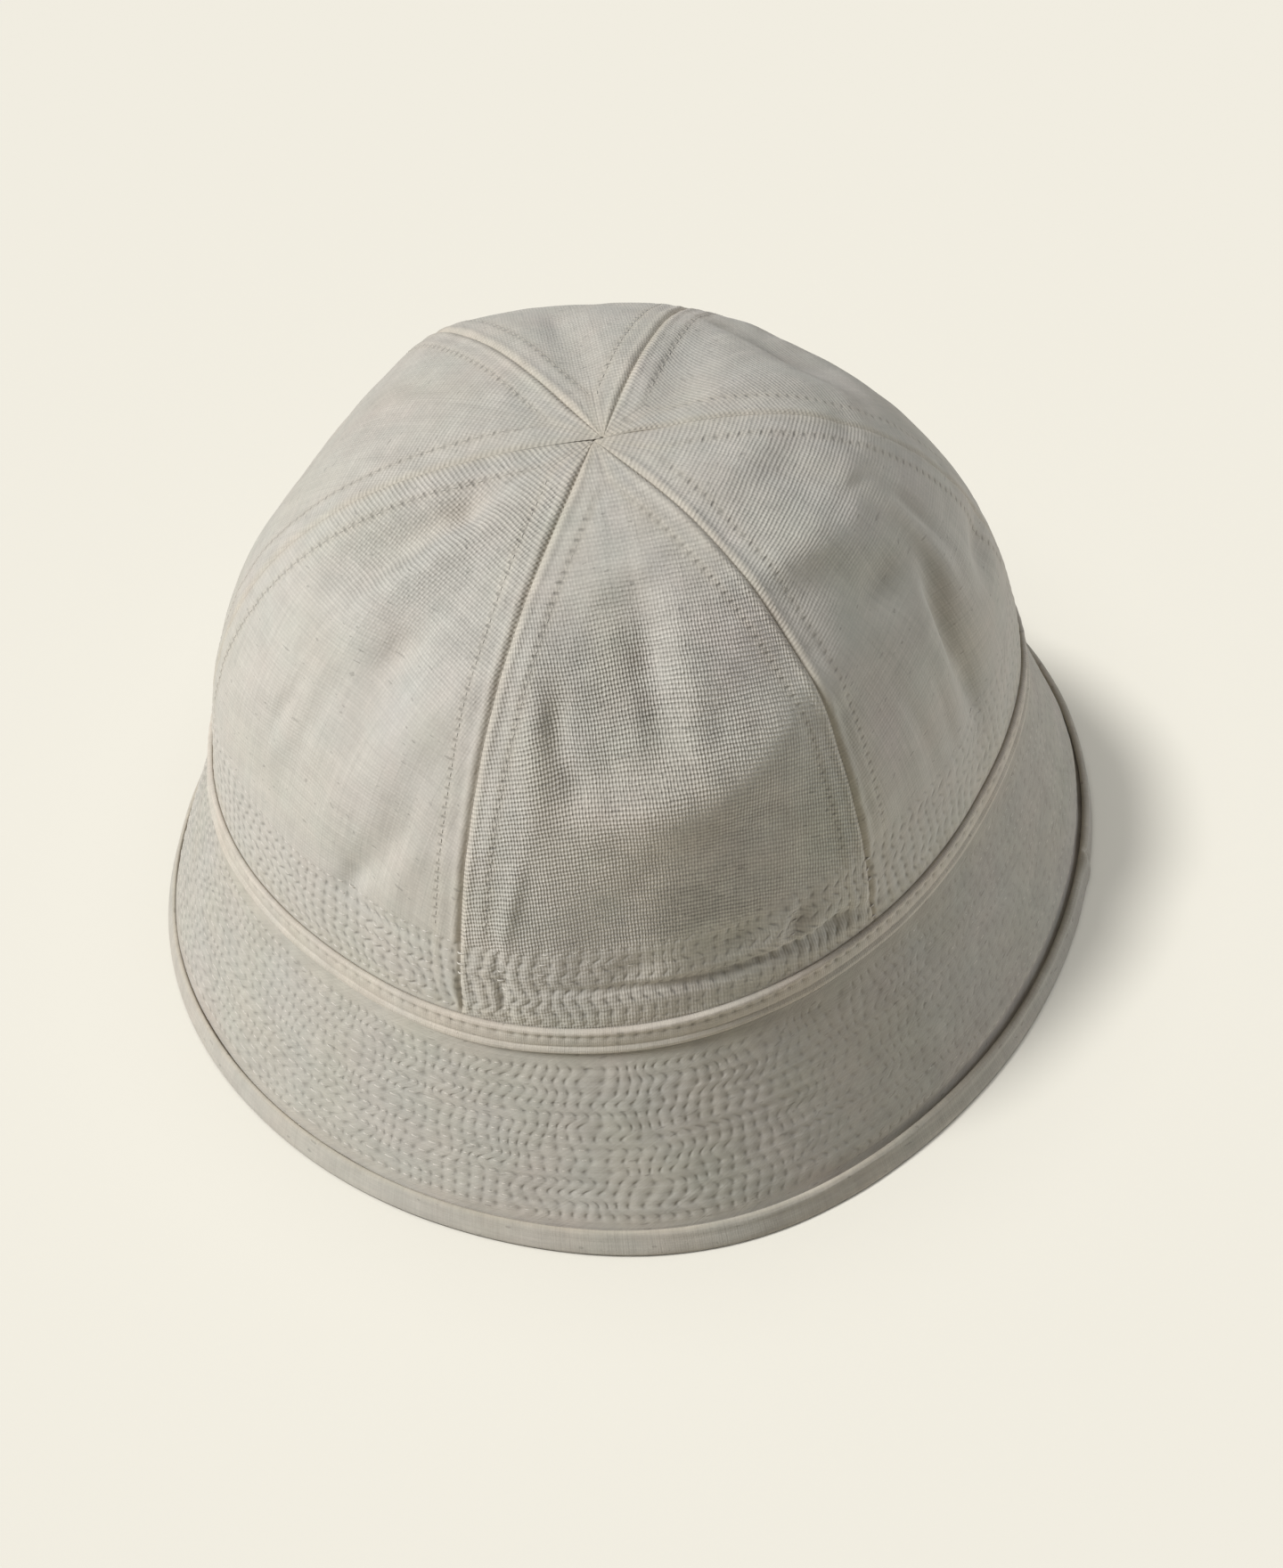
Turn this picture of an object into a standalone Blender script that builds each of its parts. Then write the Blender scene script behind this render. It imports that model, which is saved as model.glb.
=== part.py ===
"""Soft cloth cap: six canvas panels, a tape over their joint with the brim, and a quilted turned-down brim.

Metres, +Z up. The cap stands on the edge of its brim at z = 0, with its middle over the origin.
The front panel faces -Y. Azimuths are in degrees, seen from above, from +X towards +Y.
"""
import bpy
import bmesh
from collections import namedtuple
from math import asin, cos, degrees, exp, hypot, pi, radians, sin
from mathutils import Vector

# Heights
BRIM_HEIGHT = 0.0563        # from the table up to the joint of crown and brim
CAP_HEIGHT = 0.1620         # from the table up to the crown's top

# Plan sizes, each a slightly turned oval: half lengths and the long axis's azimuth
Oval = namedtuple("Oval", "long wide turn")
HEAD_OVAL = Oval(0.0981, 0.0910, -4.0)
RIM_OVAL = Oval(0.1183, 0.1151, 7.0)

# The crown's side view, from its foot to its top, in shares of the head's radius and of the crown's height
PROFILE = ((1.0, 0.0), (0.95, 0.61), (0.69, 1.04), (0.0, 1.0))
CROWN_LEAN = (0.0082, -0.0003)   # how far the soft crown's top lies off the middle of its foot
SEAM_STAGGER = 0.0011            # front and back seams meet this far to each side of the top
BULGE_SHAPE = 1.5                # how soon the half-way swells fade towards the foot and the top
FOLD_FADE = 0.5                  # how slowly the folds fade towards the top

# Cloth
PANEL_WALL = 0.0012
BRIM_WALL = 0.0022
TAPE_WALL = 0.0009
BINDING_WALL = 0.0008
BRIM_EDGE_LIFT = 0.0022         # the brim's own edge stops this far above the table, inside the binding
SEAM_GAP = 0.0004
CLEARANCE = 0.0003
TAPE_HEIGHT = 0.0082
BINDING_HEIGHT = 0.0074
CROWN_SLANT = 0.162              # along the cloth, from the crown's foot to its top

# Mesh fineness
PANEL_COLUMNS = 14
PANEL_ROWS = 18
RING_STEPS = 84
BRIM_ROWS = 6

# Where the six seams run up the crown, anticlockwise, and the panel that follows each
FRONT = -1
BACK = 1
Seam = namedtuple("Seam", "azimuth panel side")
SEAMS = (
    Seam(-187.5, "crown_panel_front_left", FRONT),
    Seam(-124.0, "crown_panel_front", FRONT),
    Seam(-59.5, "crown_panel_front_right", FRONT),
    Seam(-1.0, "crown_panel_back_right", BACK),
    Seam(58.2, "crown_panel_back", BACK),
    Seam(112.6, "crown_panel_back_left", BACK),
)

# Swells that make the soft cloth's plan uneven: how far it stands out at the head, half way up and at the rim
Swell = namedtuple("Swell", "azimuth head middle rim")
SWELLS = (
    Swell(-180.0, 0.0010, 0.0031, 0.0028),
    Swell(-150.0, -0.0018, 0.0006, -0.0003),
    Swell(-120.0, 0.0013, 0.0027, -0.0010),
    Swell(-90.0, 0.0015, 0.0005, 0.0029),
    Swell(-60.0, -0.0010, 0.0008, -0.0012),
    Swell(-30.0, -0.0025, 0.0012, -0.0022),
    Swell(0.0, 0.0050, -0.0020, 0.0000),
    Swell(30.0, -0.0022, -0.0020, -0.0002),
)
SWELL_WIDTH = 24.0

# Folds in the crown: half length along the fold, half width across it, its tilt from the upright
# and how deep it goes in (less than nothing stands out)
Fold = namedtuple("Fold", "name azimuth height along across tilt depth")
FOLDS = (
    Fold("temple_hollow", -110.5, 0.54, 0.018, 0.0060, -20.0, 0.0021),
    Fold("brow_hollow", -93.0, 0.66, 0.020, 0.0110, 0.0, 0.0016),
    Fold("brow_ridge", -86.0, 0.51, 0.024, 0.0065, 50.0, -0.0012),
    Fold("low_hollow", -84.0, 0.33, 0.026, 0.0090, 88.0, 0.0014),
    Fold("left_top_hollow", -169.5, 0.71, 0.021, 0.0070, 18.0, 0.0018),
    Fold("left_mid_hollow", -151.5, 0.58, 0.014, 0.0065, 10.0, 0.0014),
    Fold("left_ridge", -147.0, 0.36, 0.028, 0.0060, 14.0, -0.0012),
    Fold("left_valley", -143.0, 0.28, 0.020, 0.0060, 21.0, 0.0016),
    Fold("right_valley", -26.0, 0.33, 0.027, 0.0065, 12.0, 0.0026),
    Fold("right_ridge", -17.0, 0.47, 0.022, 0.0060, 10.0, -0.0012),
    Fold("right_hollow", -43.0, 0.63, 0.015, 0.0075, -60.0, 0.0018),
    Fold("right_top_hollow", -24.0, 0.80, 0.015, 0.0065, -70.0, 0.0016),
    Fold("back_right_top_hollow", 36.0, 0.83, 0.017, 0.0065, -28.0, 0.0022),
    Fold("back_right_dip", 31.0, 0.59, 0.019, 0.0090, 80.0, 0.0022),
    Fold("back_flat", 63.0, 0.52, 0.022, 0.0200, 0.0, 0.0014),
    Fold("back_right_valley", 32.0, 0.28, 0.026, 0.0080, 10.0, 0.0016),
    Fold("back_top_valley", 90.0, 0.80, 0.022, 0.0060, 0.0, 0.0020),
    Fold("back_low_valley", 76.0, 0.33, 0.028, 0.0080, 14.0, 0.0018),
    Fold("back_left_shoulder", 113.0, 0.52, 0.024, 0.0140, 0.0, -0.0022),
    Fold("back_left_dent", 140.0, 0.41, 0.020, 0.0120, 0.0, 0.0010),
    Fold("back_left_valley", 152.0, 0.27, 0.024, 0.0080, -16.0, 0.0018),
)

# Finishes: red, green, blue in linear light, and roughness
Finish = namedtuple("Finish", "colour roughness")
CANVAS = Finish((0.50, 0.47, 0.40), 0.95)
QUILTED_CANVAS = Finish((0.42, 0.39, 0.33), 0.95)
TAPE_CLOTH = Finish((0.52, 0.47, 0.37), 0.90)
BINDING_CLOTH = Finish((0.46, 0.43, 0.36), 0.92)


def turned_apart(azimuth, other):
    """Degrees from one azimuth to another, between -180 and 180."""
    return (azimuth - other + 180.0) % 360.0 - 180.0


def oval_radius(oval, azimuth):
    angle = radians(azimuth - oval.turn)
    return oval.long * oval.wide / hypot(oval.wide * cos(angle), oval.long * sin(angle))


def swell_at(azimuth, column):
    """How far the swells push the cloth out at an azimuth, for head, middle or rim."""
    total = 0.0
    for swell in SWELLS:
        total += getattr(swell, column) * exp(-(turned_apart(azimuth, swell.azimuth) / SWELL_WIDTH) ** 2)
    return total


def head_radius(azimuth):
    return oval_radius(HEAD_OVAL, azimuth) + swell_at(azimuth, "head")


def rim_radius(azimuth):
    return oval_radius(RIM_OVAL, azimuth) + swell_at(azimuth, "rim")


def profile_at(height):
    """The crown's side view at a height from 0 (foot) to 1 (top): shares of radius and of height."""
    rest = 1.0 - height
    weights = (rest ** 3, 3 * rest ** 2 * height, 3 * rest * height ** 2, height ** 3)
    radius_share = sum(w * point[0] for w, point in zip(weights, PROFILE))
    height_share = sum(w * point[1] for w, point in zip(weights, PROFILE))
    return radius_share, height_share


def fold_depth(azimuth, height, radius):
    """How far all the folds together sink the cloth at one place on the crown."""
    total = 0.0
    for fold in FOLDS:
        east = radians(turned_apart(azimuth, fold.azimuth)) * radius
        north = (height - fold.height) * CROWN_SLANT
        tilt = radians(fold.tilt)
        along = north * cos(tilt) + east * sin(tilt)
        across = east * cos(tilt) - north * sin(tilt)
        total += fold.depth * exp(-(along / fold.along) ** 2 - (across / fold.across) ** 2)
    return total


def crown_point(azimuth, height, side):
    """A point of the crown's outer face; side is FRONT or BACK, as its panel's."""
    radius_share, height_share = profile_at(height)
    bulge = swell_at(azimuth, "middle") * max(0.0, sin(pi * height)) ** BULGE_SHAPE
    radius = radius_share * head_radius(azimuth) + bulge
    radius -= fold_depth(azimuth, height, radius) * radius_share ** FOLD_FADE
    angle = radians(azimuth)
    shift = side * SEAM_STAGGER * (1.0 - radius_share)
    return Vector((
        radius * cos(angle) + shift + CROWN_LEAN[0] * height_share,
        radius * sin(angle) + CROWN_LEAN[1] * height_share,
        BRIM_HEIGHT + height_share * (CAP_HEIGHT - BRIM_HEIGHT),
    ))


def crown_normal(azimuth, height, side):
    """The outward direction of the crown's face, from its slopes a degree and a hundredth away."""
    turn = 1.0
    climb = 0.01
    east = crown_point(azimuth + turn, height, side) - crown_point(azimuth - turn, height, side)
    north = crown_point(azimuth, height + climb, side) - crown_point(azimuth, height - climb, side)
    return east.cross(north).normalized()


def brim_point(azimuth, down, out):
    """A point down the brim: down is 0 at the head and 1 at the table, out is off its outer face."""
    angle = radians(azimuth)
    outward = Vector((cos(angle), sin(angle), 0.0))
    head = outward * head_radius(azimuth) + Vector((0.0, 0.0, BRIM_HEIGHT))
    rim = outward * rim_radius(azimuth)
    spread = rim_radius(azimuth) - head_radius(azimuth)
    normal = (outward * BRIM_HEIGHT + Vector((0.0, 0.0, spread))).normalized()
    return head.lerp(rim, down) + normal * out


def brim_down_at(azimuth, level, out):
    """How far down the brim a point at that height above the table lies."""
    spread = rim_radius(azimuth) - head_radius(azimuth)
    rise = out * spread / hypot(BRIM_HEIGHT, spread)
    return 1.0 - (level - rise) / BRIM_HEIGHT


def centre_of_plan():
    """The middle of the cap's box, seen from above."""
    rim = [brim_point(step, 1.0, CLEARANCE + BINDING_WALL) for step in range(360)]
    across = [point.x for point in rim]
    deep = [point.y for point in rim]
    return Vector(((min(across) + max(across)) / 2, (min(deep) + max(deep)) / 2, 0.0))


def make_material(name, finish):
    material = bpy.data.materials.new(name)
    material.use_nodes = True
    shader = material.node_tree.nodes["Principled BSDF"]
    shader.inputs["Base Color"].default_value = (*finish.colour, 1.0)
    shader.inputs["Roughness"].default_value = finish.roughness
    shader.inputs["Metallic"].default_value = 0.0
    return material


def add_object(name, mesh_builder, material, centre):
    """Turn a finished bmesh into an object whose origin is the cap's middle on the table."""
    for vertex in mesh_builder.verts:
        vertex.co -= centre
    mesh = bpy.data.meshes.new(name)
    mesh_builder.to_mesh(mesh)
    mesh_builder.free()
    mesh.shade_smooth()
    mesh.materials.append(material)
    item = bpy.data.objects.new(name, mesh)
    bpy.context.collection.objects.link(item)
    return item


def thicken(item, wall, offset):
    """Give a face of cloth its thickness: offset -1 goes inwards from the face, 1 outwards."""
    solidify = item.modifiers.new("wall", "SOLIDIFY")
    solidify.thickness = wall
    solidify.offset = offset
    solidify.use_even_offset = False


def bridge_rows(builder, rows, closed):
    """Join rows of points with quads; a closed row runs all the way round."""
    for lower, upper in zip(rows, rows[1:]):
        count = len(lower)
        for column in range(count if closed else count - 1):
            following = (column + 1) % count
            builder.faces.new((lower[column], lower[following], upper[following], upper[column]))


def make_panel(left, right, name, side, material, centre):
    """One gore of the crown, from its foot to its point at the top."""
    builder = bmesh.new()
    rows = []
    for row in range(PANEL_ROWS):
        height = row / PANEL_ROWS
        inset = degrees(asin(SEAM_GAP / 2 / (profile_at(height)[0] * head_radius(left))))
        points = []
        for column in range(PANEL_COLUMNS + 1):
            share = column / PANEL_COLUMNS
            azimuth = left + inset + (right - left - 2 * inset) * share
            points.append(builder.verts.new(crown_point(azimuth, height, side)))
        rows.append(points)
    bridge_rows(builder, rows, closed=False)
    middle = (left + right) / 2
    top = crown_point(middle, 1.0, side)
    tip = builder.verts.new(top + Vector((cos(radians(middle)), sin(radians(middle)), 0.0)) * SEAM_GAP)
    for near, far in zip(rows[-1], rows[-1][1:]):
        builder.faces.new((near, far, tip))
    item = add_object(name, builder, material, centre)
    thicken(item, PANEL_WALL, -1.0)


def ring_azimuths():
    return [360.0 * step / RING_STEPS for step in range(RING_STEPS)]


def make_tape(material, centre):
    """The folded tape that covers the crown's foot."""
    builder = bmesh.new()
    top = TAPE_HEIGHT / CROWN_SLANT
    rows = []
    for height in (0.0, top / 2, top):
        points = []
        for azimuth in ring_azimuths():
            face = crown_point(azimuth, height, FRONT)
            points.append(builder.verts.new(face + crown_normal(azimuth, height, FRONT) * CLEARANCE))
        rows.append(points)
    bridge_rows(builder, rows, closed=True)
    item = add_object("seam_tape", builder, material, centre)
    thicken(item, TAPE_WALL, 1.0)


def make_brim(material, centre):
    """The quilted wall of the brim, from under the crown's foot down into its binding."""
    builder = bmesh.new()
    top = BRIM_HEIGHT - 1.5 * CLEARANCE
    rows = []
    for row in range(BRIM_ROWS + 1):
        level = BRIM_EDGE_LIFT + (top - BRIM_EDGE_LIFT) * row / BRIM_ROWS
        points = []
        for azimuth in ring_azimuths():
            points.append(builder.verts.new(brim_point(azimuth, brim_down_at(azimuth, level, 0.0), 0.0)))
        rows.append(points)
    bridge_rows(builder, rows, closed=True)
    item = add_object("brim", builder, material, centre)
    thicken(item, BRIM_WALL, -1.0)


def make_binding(material, centre):
    """The folded hem, a strip wrapped round the brim's edge, flat where the cap stands on it."""
    outer_near = CLEARANCE
    outer_far = CLEARANCE + BINDING_WALL
    inner_near = -BRIM_WALL - CLEARANCE
    inner_far = inner_near - BINDING_WALL
    soft_edge = 0.5 * BINDING_WALL
    section = (
        (outer_far, soft_edge),
        (outer_far, BINDING_HEIGHT - soft_edge),
        (outer_near, BINDING_HEIGHT),
        (outer_near, BINDING_WALL),
        (inner_near, BINDING_WALL),
        (inner_near, BINDING_HEIGHT),
        (inner_far, BINDING_HEIGHT - soft_edge),
        (inner_far, soft_edge),
        (inner_far + soft_edge, 0.0),
        (outer_far - soft_edge, 0.0),
    )
    builder = bmesh.new()
    rows = []
    for azimuth in ring_azimuths():
        row = []
        for out, level in section:
            row.append(builder.verts.new(brim_point(azimuth, brim_down_at(azimuth, level, out), out)))
        rows.append(row)
    bridge_rows(builder, rows + rows[:1], closed=True)
    bmesh.ops.recalc_face_normals(builder, faces=builder.faces)
    add_object("brim_binding", builder, material, centre)


def make_cap():
    canvas = make_material("canvas", CANVAS)
    quilted = make_material("quilted_canvas", QUILTED_CANVAS)
    tape_cloth = make_material("tape_cloth", TAPE_CLOTH)
    binding_cloth = make_material("binding_cloth", BINDING_CLOTH)
    centre = centre_of_plan()
    for number, seam in enumerate(SEAMS):
        if number + 1 < len(SEAMS):
            right = SEAMS[number + 1].azimuth
        else:
            right = SEAMS[0].azimuth + 360.0
        make_panel(seam.azimuth, right, seam.panel, seam.side, canvas, centre)
    make_tape(tape_cloth, centre)
    make_brim(quilted, centre)
    make_binding(binding_cloth, centre)


for old in list(bpy.data.objects):
    bpy.data.objects.remove(old, do_unlink=True)
make_cap()
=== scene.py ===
"""A soft canvas sailor cap with its stitched brim turned down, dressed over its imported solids.

Metres, +Z up. The cap stands on the edge of its brim at z = 0, and its front panel faces -Y.
Azimuths are in degrees, seen from above, from +X towards +Y. Heights up the crown run from 0 at its
joint with the brim to 1 at its top. A slant is a length along the cloth, up from the joint on the crown
and down from it on the brim.
"""
from collections import namedtuple
from math import cos, pi, radians, sin

import bpy
import numpy as np
from mathutils import Matrix, Vector


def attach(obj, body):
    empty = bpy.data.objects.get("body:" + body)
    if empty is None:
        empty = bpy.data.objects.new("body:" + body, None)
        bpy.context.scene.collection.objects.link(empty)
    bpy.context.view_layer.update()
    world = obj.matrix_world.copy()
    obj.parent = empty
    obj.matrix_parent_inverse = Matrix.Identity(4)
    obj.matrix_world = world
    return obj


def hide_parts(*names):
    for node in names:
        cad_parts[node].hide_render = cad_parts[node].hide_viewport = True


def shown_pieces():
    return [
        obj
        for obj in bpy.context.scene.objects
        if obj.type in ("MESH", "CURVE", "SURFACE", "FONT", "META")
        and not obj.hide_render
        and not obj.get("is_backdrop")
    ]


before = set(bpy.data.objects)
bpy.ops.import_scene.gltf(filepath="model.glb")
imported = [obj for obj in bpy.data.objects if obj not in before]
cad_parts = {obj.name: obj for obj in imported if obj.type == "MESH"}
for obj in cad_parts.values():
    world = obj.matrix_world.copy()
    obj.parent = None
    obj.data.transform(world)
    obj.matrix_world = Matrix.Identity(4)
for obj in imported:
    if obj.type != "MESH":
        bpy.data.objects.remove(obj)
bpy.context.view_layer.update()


# ------------------------------------------------------------------------------------------------
# The crown: six gores of unbleached canvas, a coarse plain weave with thick threads across each gore.
# They are sewn edge to edge, their seam allowances pressed open underneath, and drawn in at the foot,
# where eight close rows of stitches pucker the cloth above the tape.
# ------------------------------------------------------------------------------------------------

BRIM_HEIGHT = 0.0563        # from the table up to the joint of crown and brim
CAP_HEIGHT = 0.1620
CROWN_SLANT = 0.162         # along the cloth, from the crown's foot to its top
HEM_OUT = 0.0011            # how far the solid hem stands out from the brim's face

# The head's and the rim's outlines from above: half length, half width, and the azimuth of the length
Oval = namedtuple("Oval", "long wide turn")
HEAD_OVAL = Oval(0.0981, 0.0910, -4.0)
RIM_OVAL = Oval(0.1183, 0.1151, 7.0)

# The points that draw the crown's side view, from its foot to its top, in shares of the head's radius
# and of the crown's height
ProfilePoint = namedtuple("ProfilePoint", "radius height")
PROFILE = (ProfilePoint(1.0, 0.0), ProfilePoint(0.95, 0.61), ProfilePoint(0.69, 1.04), ProfilePoint(0.0, 1.0))
CROWN_LEAN = (0.0082, -0.0003)    # how far its top leans, along X and Y
SEAM_STAGGER = 0.0011       # how far the front gores' point lies to one side, the back gores' to the other
STAGGER_SHAPE = 6           # the higher, the closer the stagger keeps to the top
BULGE_SHAPE = 1.5           # the higher, the closer the swells keep to half way up
FOLD_FADE = 0.5             # the higher, the sooner the large folds fade towards the top

# Swells that make the soft cloth's plan uneven: how far it stands out at the head, half way up and at the rim
Swell = namedtuple("Swell", "azimuth head middle rim")
SWELLS = (
    Swell(-180.0, 0.0010, 0.0031, 0.0028),
    Swell(-150.0, -0.0018, 0.0006, -0.0003),
    Swell(-120.0, 0.0013, 0.0027, -0.0010),
    Swell(-90.0, 0.0015, 0.0005, 0.0029),
    Swell(-60.0, -0.0010, 0.0008, -0.0012),
    Swell(-30.0, -0.0025, 0.0012, -0.0022),
    Swell(0.0, 0.0050, -0.0020, 0.0000),
    Swell(30.0, -0.0022, -0.0020, -0.0002),
)
SWELL_WIDTH = 24.0

# Folds in the crown: half length along the fold, half width across it, its tilt from the upright
# and how deep it goes in (less than nothing stands out)
Fold = namedtuple("Fold", "name azimuth height along across tilt depth")
FOLDS = (
    Fold("temple_hollow", -110.5, 0.54, 0.018, 0.0060, -20.0, 0.0021),
    Fold("brow_hollow", -93.0, 0.66, 0.020, 0.0110, 0.0, 0.0016),
    Fold("brow_ridge", -86.0, 0.51, 0.024, 0.0065, 50.0, -0.0012),
    Fold("low_hollow", -84.0, 0.33, 0.026, 0.0090, 88.0, 0.0014),
    Fold("left_top_hollow", -169.5, 0.71, 0.021, 0.0070, 18.0, 0.0018),
    Fold("left_mid_hollow", -151.5, 0.58, 0.014, 0.0065, 10.0, 0.0014),
    Fold("left_ridge", -147.0, 0.36, 0.028, 0.0060, 14.0, -0.0012),
    Fold("left_valley", -143.0, 0.28, 0.020, 0.0060, 21.0, 0.0016),
    Fold("right_valley", -26.0, 0.33, 0.027, 0.0065, 12.0, 0.0026),
    Fold("right_ridge", -17.0, 0.47, 0.022, 0.0060, 10.0, -0.0012),
    Fold("right_hollow", -43.0, 0.63, 0.015, 0.0075, -60.0, 0.0018),
    Fold("right_top_hollow", -24.0, 0.80, 0.015, 0.0065, -70.0, 0.0016),
    Fold("back_right_top_hollow", 36.0, 0.83, 0.017, 0.0065, -28.0, 0.0022),
    Fold("back_right_dip", 31.0, 0.59, 0.019, 0.0090, 80.0, 0.0022),
    Fold("back_flat", 63.0, 0.52, 0.022, 0.0200, 0.0, 0.0014),
    Fold("back_right_valley", 32.0, 0.28, 0.026, 0.0080, 10.0, 0.0016),
    Fold("back_top_valley", 90.0, 0.80, 0.022, 0.0060, 0.0, 0.0020),
    Fold("back_low_valley", 76.0, 0.33, 0.028, 0.0080, 14.0, 0.0018),
    Fold("back_left_shoulder", 113.0, 0.52, 0.024, 0.0140, 0.0, -0.0022),
    Fold("back_left_dent", 140.0, 0.41, 0.020, 0.0120, 0.0, 0.0010),
    Fold("back_left_valley", 152.0, 0.27, 0.024, 0.0080, -16.0, 0.0018),
)

# Small creases that only the dressed cloth has, in the same columns
CREASES = (
    Fold("left_shoulder_dent", -164.5, 0.815, 0.006, 0.0042, -40.0, 0.0023),
    Fold("left_top_valley", -168.0, 0.70, 0.018, 0.0050, 6.0, 0.0018),
    Fold("left_shoulder_nick", -160.0, 0.86, 0.006, 0.0030, 70.0, 0.0007),
    Fold("left_high_ridge", -158.5, 0.71, 0.022, 0.0052, 8.0, -0.0021),
    Fold("left_middle_hollow", -147.0, 0.570, 0.015, 0.0085, 12.0, 0.0020),
    Fold("left_middle_dent", -149.8, 0.575, 0.010, 0.0040, 12.0, 0.0015),
    Fold("left_slanting_ridge", -142.8, 0.42, 0.030, 0.0066, 24.0, -0.0015),
    Fold("left_slanting_valley", -138.6, 0.285, 0.014, 0.0050, 28.0, 0.0013),
    Fold("left_long_crease", -164.5, 0.40, 0.014, 0.0024, 8.0, 0.0007),
    Fold("left_long_crease_near", -158.5, 0.38, 0.016, 0.0032, 6.0, 0.0008),
    Fold("left_valley_foot", -143.2, 0.205, 0.006, 0.0028, 24.0, 0.0013),
    Fold("left_foot_groove", -139.0, 0.165, 0.022, 0.0028, 90.0, 0.0007),
    Fold("left_low_ridge", -134.0, 0.28, 0.018, 0.0035, 12.0, -0.0006),
    Fold("temple_crease", -111.0, 0.57, 0.008, 0.0030, -6.0, 0.0013),
    Fold("temple_low_crease", -106.8, 0.46, 0.007, 0.0025, -8.0, 0.0006),
    Fold("temple_bank", -115.0, 0.56, 0.022, 0.0040, -8.0, -0.0013),
    Fold("temple_floor", -103.0, 0.57, 0.020, 0.0080, -8.0, 0.0015),
    Fold("brow_upper_edge", -99.0, 0.780, 0.018, 0.0050, 73.0, -0.0009),
    Fold("brow_floor", -89.8, 0.62, 0.020, 0.0050, 2.0, 0.0011),
    Fold("brow_crease_high", -91.0, 0.65, 0.006, 0.0034, 4.0, 0.0006),
    Fold("brow_crease_low", -91.0, 0.545, 0.006, 0.0034, 0.0, 0.0005),
    Fold("brow_edge", -83.0, 0.60, 0.022, 0.0045, 2.0, -0.0012),
    Fold("brow_shoulder", -75.0, 0.61, 0.022, 0.0090, 4.0, -0.0015),
    Fold("brow_lower_edge", -98.0, 0.425, 0.012, 0.0060, 84.0, -0.0007),
    Fold("low_step", -85.5, 0.410, 0.025, 0.0085, 90.0, -0.0024),
    Fold("low_fall", -84.0, 0.185, 0.027, 0.0160, 90.0, 0.0020),
    Fold("right_brow_ridge", -70.0, 0.468, 0.020, 0.0095, 82.0, -0.0029),
    Fold("right_seam_ridge", -61.6, 0.83, 0.016, 0.0024, 0.0, -0.0007),
    Fold("right_seam_dent", -63.2, 0.47, 0.009, 0.0030, 0.0, 0.0007),
    Fold("low_left_hollow", -102.0, 0.210, 0.014, 0.0100, 40.0, 0.0011),
    Fold("gather_ridge", -116.4, 0.26, 0.014, 0.0021, 8.0, -0.0010),
    Fold("gather_pleat", -117.6, 0.115, 0.011, 0.0013, -4.0, 0.0009),
    Fold("gather_dent", -111.5, 0.150, 0.006, 0.0016, 0.0, 0.0005),
    Fold("foot_groove", -84.0, 0.092, 0.038, 0.0016, 94.0, 0.0018),
    Fold("foot_dimple_left", -98.0, 0.136, 0.007, 0.0040, 80.0, 0.0012),
    Fold("foot_dimple_middle", -82.5, 0.142, 0.007, 0.0042, 80.0, 0.0013),
    Fold("foot_ridge", -75.0, 0.140, 0.006, 0.0020, 35.0, -0.0006),
    Fold("foot_dimple_high", -72.5, 0.122, 0.005, 0.0028, 30.0, 0.0016),
    Fold("foot_dimple_low", -66.0, 0.086, 0.005, 0.0028, 80.0, 0.0018),
    Fold("right_dent_upper", -22.0, 0.765, 0.013, 0.0040, -68.0, 0.0006),
    Fold("right_step", -40.0, 0.665, 0.018, 0.0080, -60.0, -0.0014),
    Fold("right_dent_below", -37.5, 0.505, 0.015, 0.0130, -50.0, 0.0017),
    Fold("right_dent_middle", -44.0, 0.610, 0.010, 0.0062, -50.0, 0.0018),
    Fold("right_dent_low", -34.0, 0.515, 0.009, 0.0070, -40.0, 0.0024),
    Fold("right_spot", -25.0, 0.625, 0.004, 0.0040, 0.0, -0.0009),
    Fold("right_spot_crease", -17.8, 0.635, 0.005, 0.0018, -55.0, 0.0005),
    Fold("right_valley_floor", -27.2, 0.35, 0.015, 0.0034, 14.0, 0.0027),
    Fold("right_valley_bank", -19.5, 0.42, 0.012, 0.0034, 14.0, -0.0009),
    Fold("right_valley_foot", -28.3, 0.22, 0.010, 0.0032, 4.0, 0.0012),
    Fold("right_long_ridge", -19.6, 0.49, 0.016, 0.0024, 10.0, -0.0009),
    Fold("right_long_valley", -16.0, 0.50, 0.016, 0.0030, 10.0, 0.0020),
    Fold("right_far_hollow", -8.2, 0.305, 0.009, 0.0064, -80.0, 0.0030),
    Fold("right_thin_valley", -43.5, 0.28, 0.017, 0.0027, -4.0, 0.0005),
    Fold("right_thin_valley_near", -37.0, 0.25, 0.014, 0.0024, 2.0, 0.0004),
    Fold("right_step_far", -17.5, 0.655, 0.012, 0.0045, -72.0, -0.0008),
    Fold("right_seam_valley", -54.0, 0.72, 0.022, 0.0026, 0.0, 0.0005),
    Fold("right_seam_dimple", 0.0, 0.655, 0.014, 0.0055, 90.0, 0.0006),
    Fold("back_right_ridge", 10.0, 0.63, 0.012, 0.0040, 20.0, -0.0008),
    Fold("back_thin_valley", 91.0, 0.70, 0.010, 0.0030, 0.0, 0.0006),
    Fold("back_left_nick", 126.0, 0.87, 0.010, 0.0030, 20.0, 0.0005),
)
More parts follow.
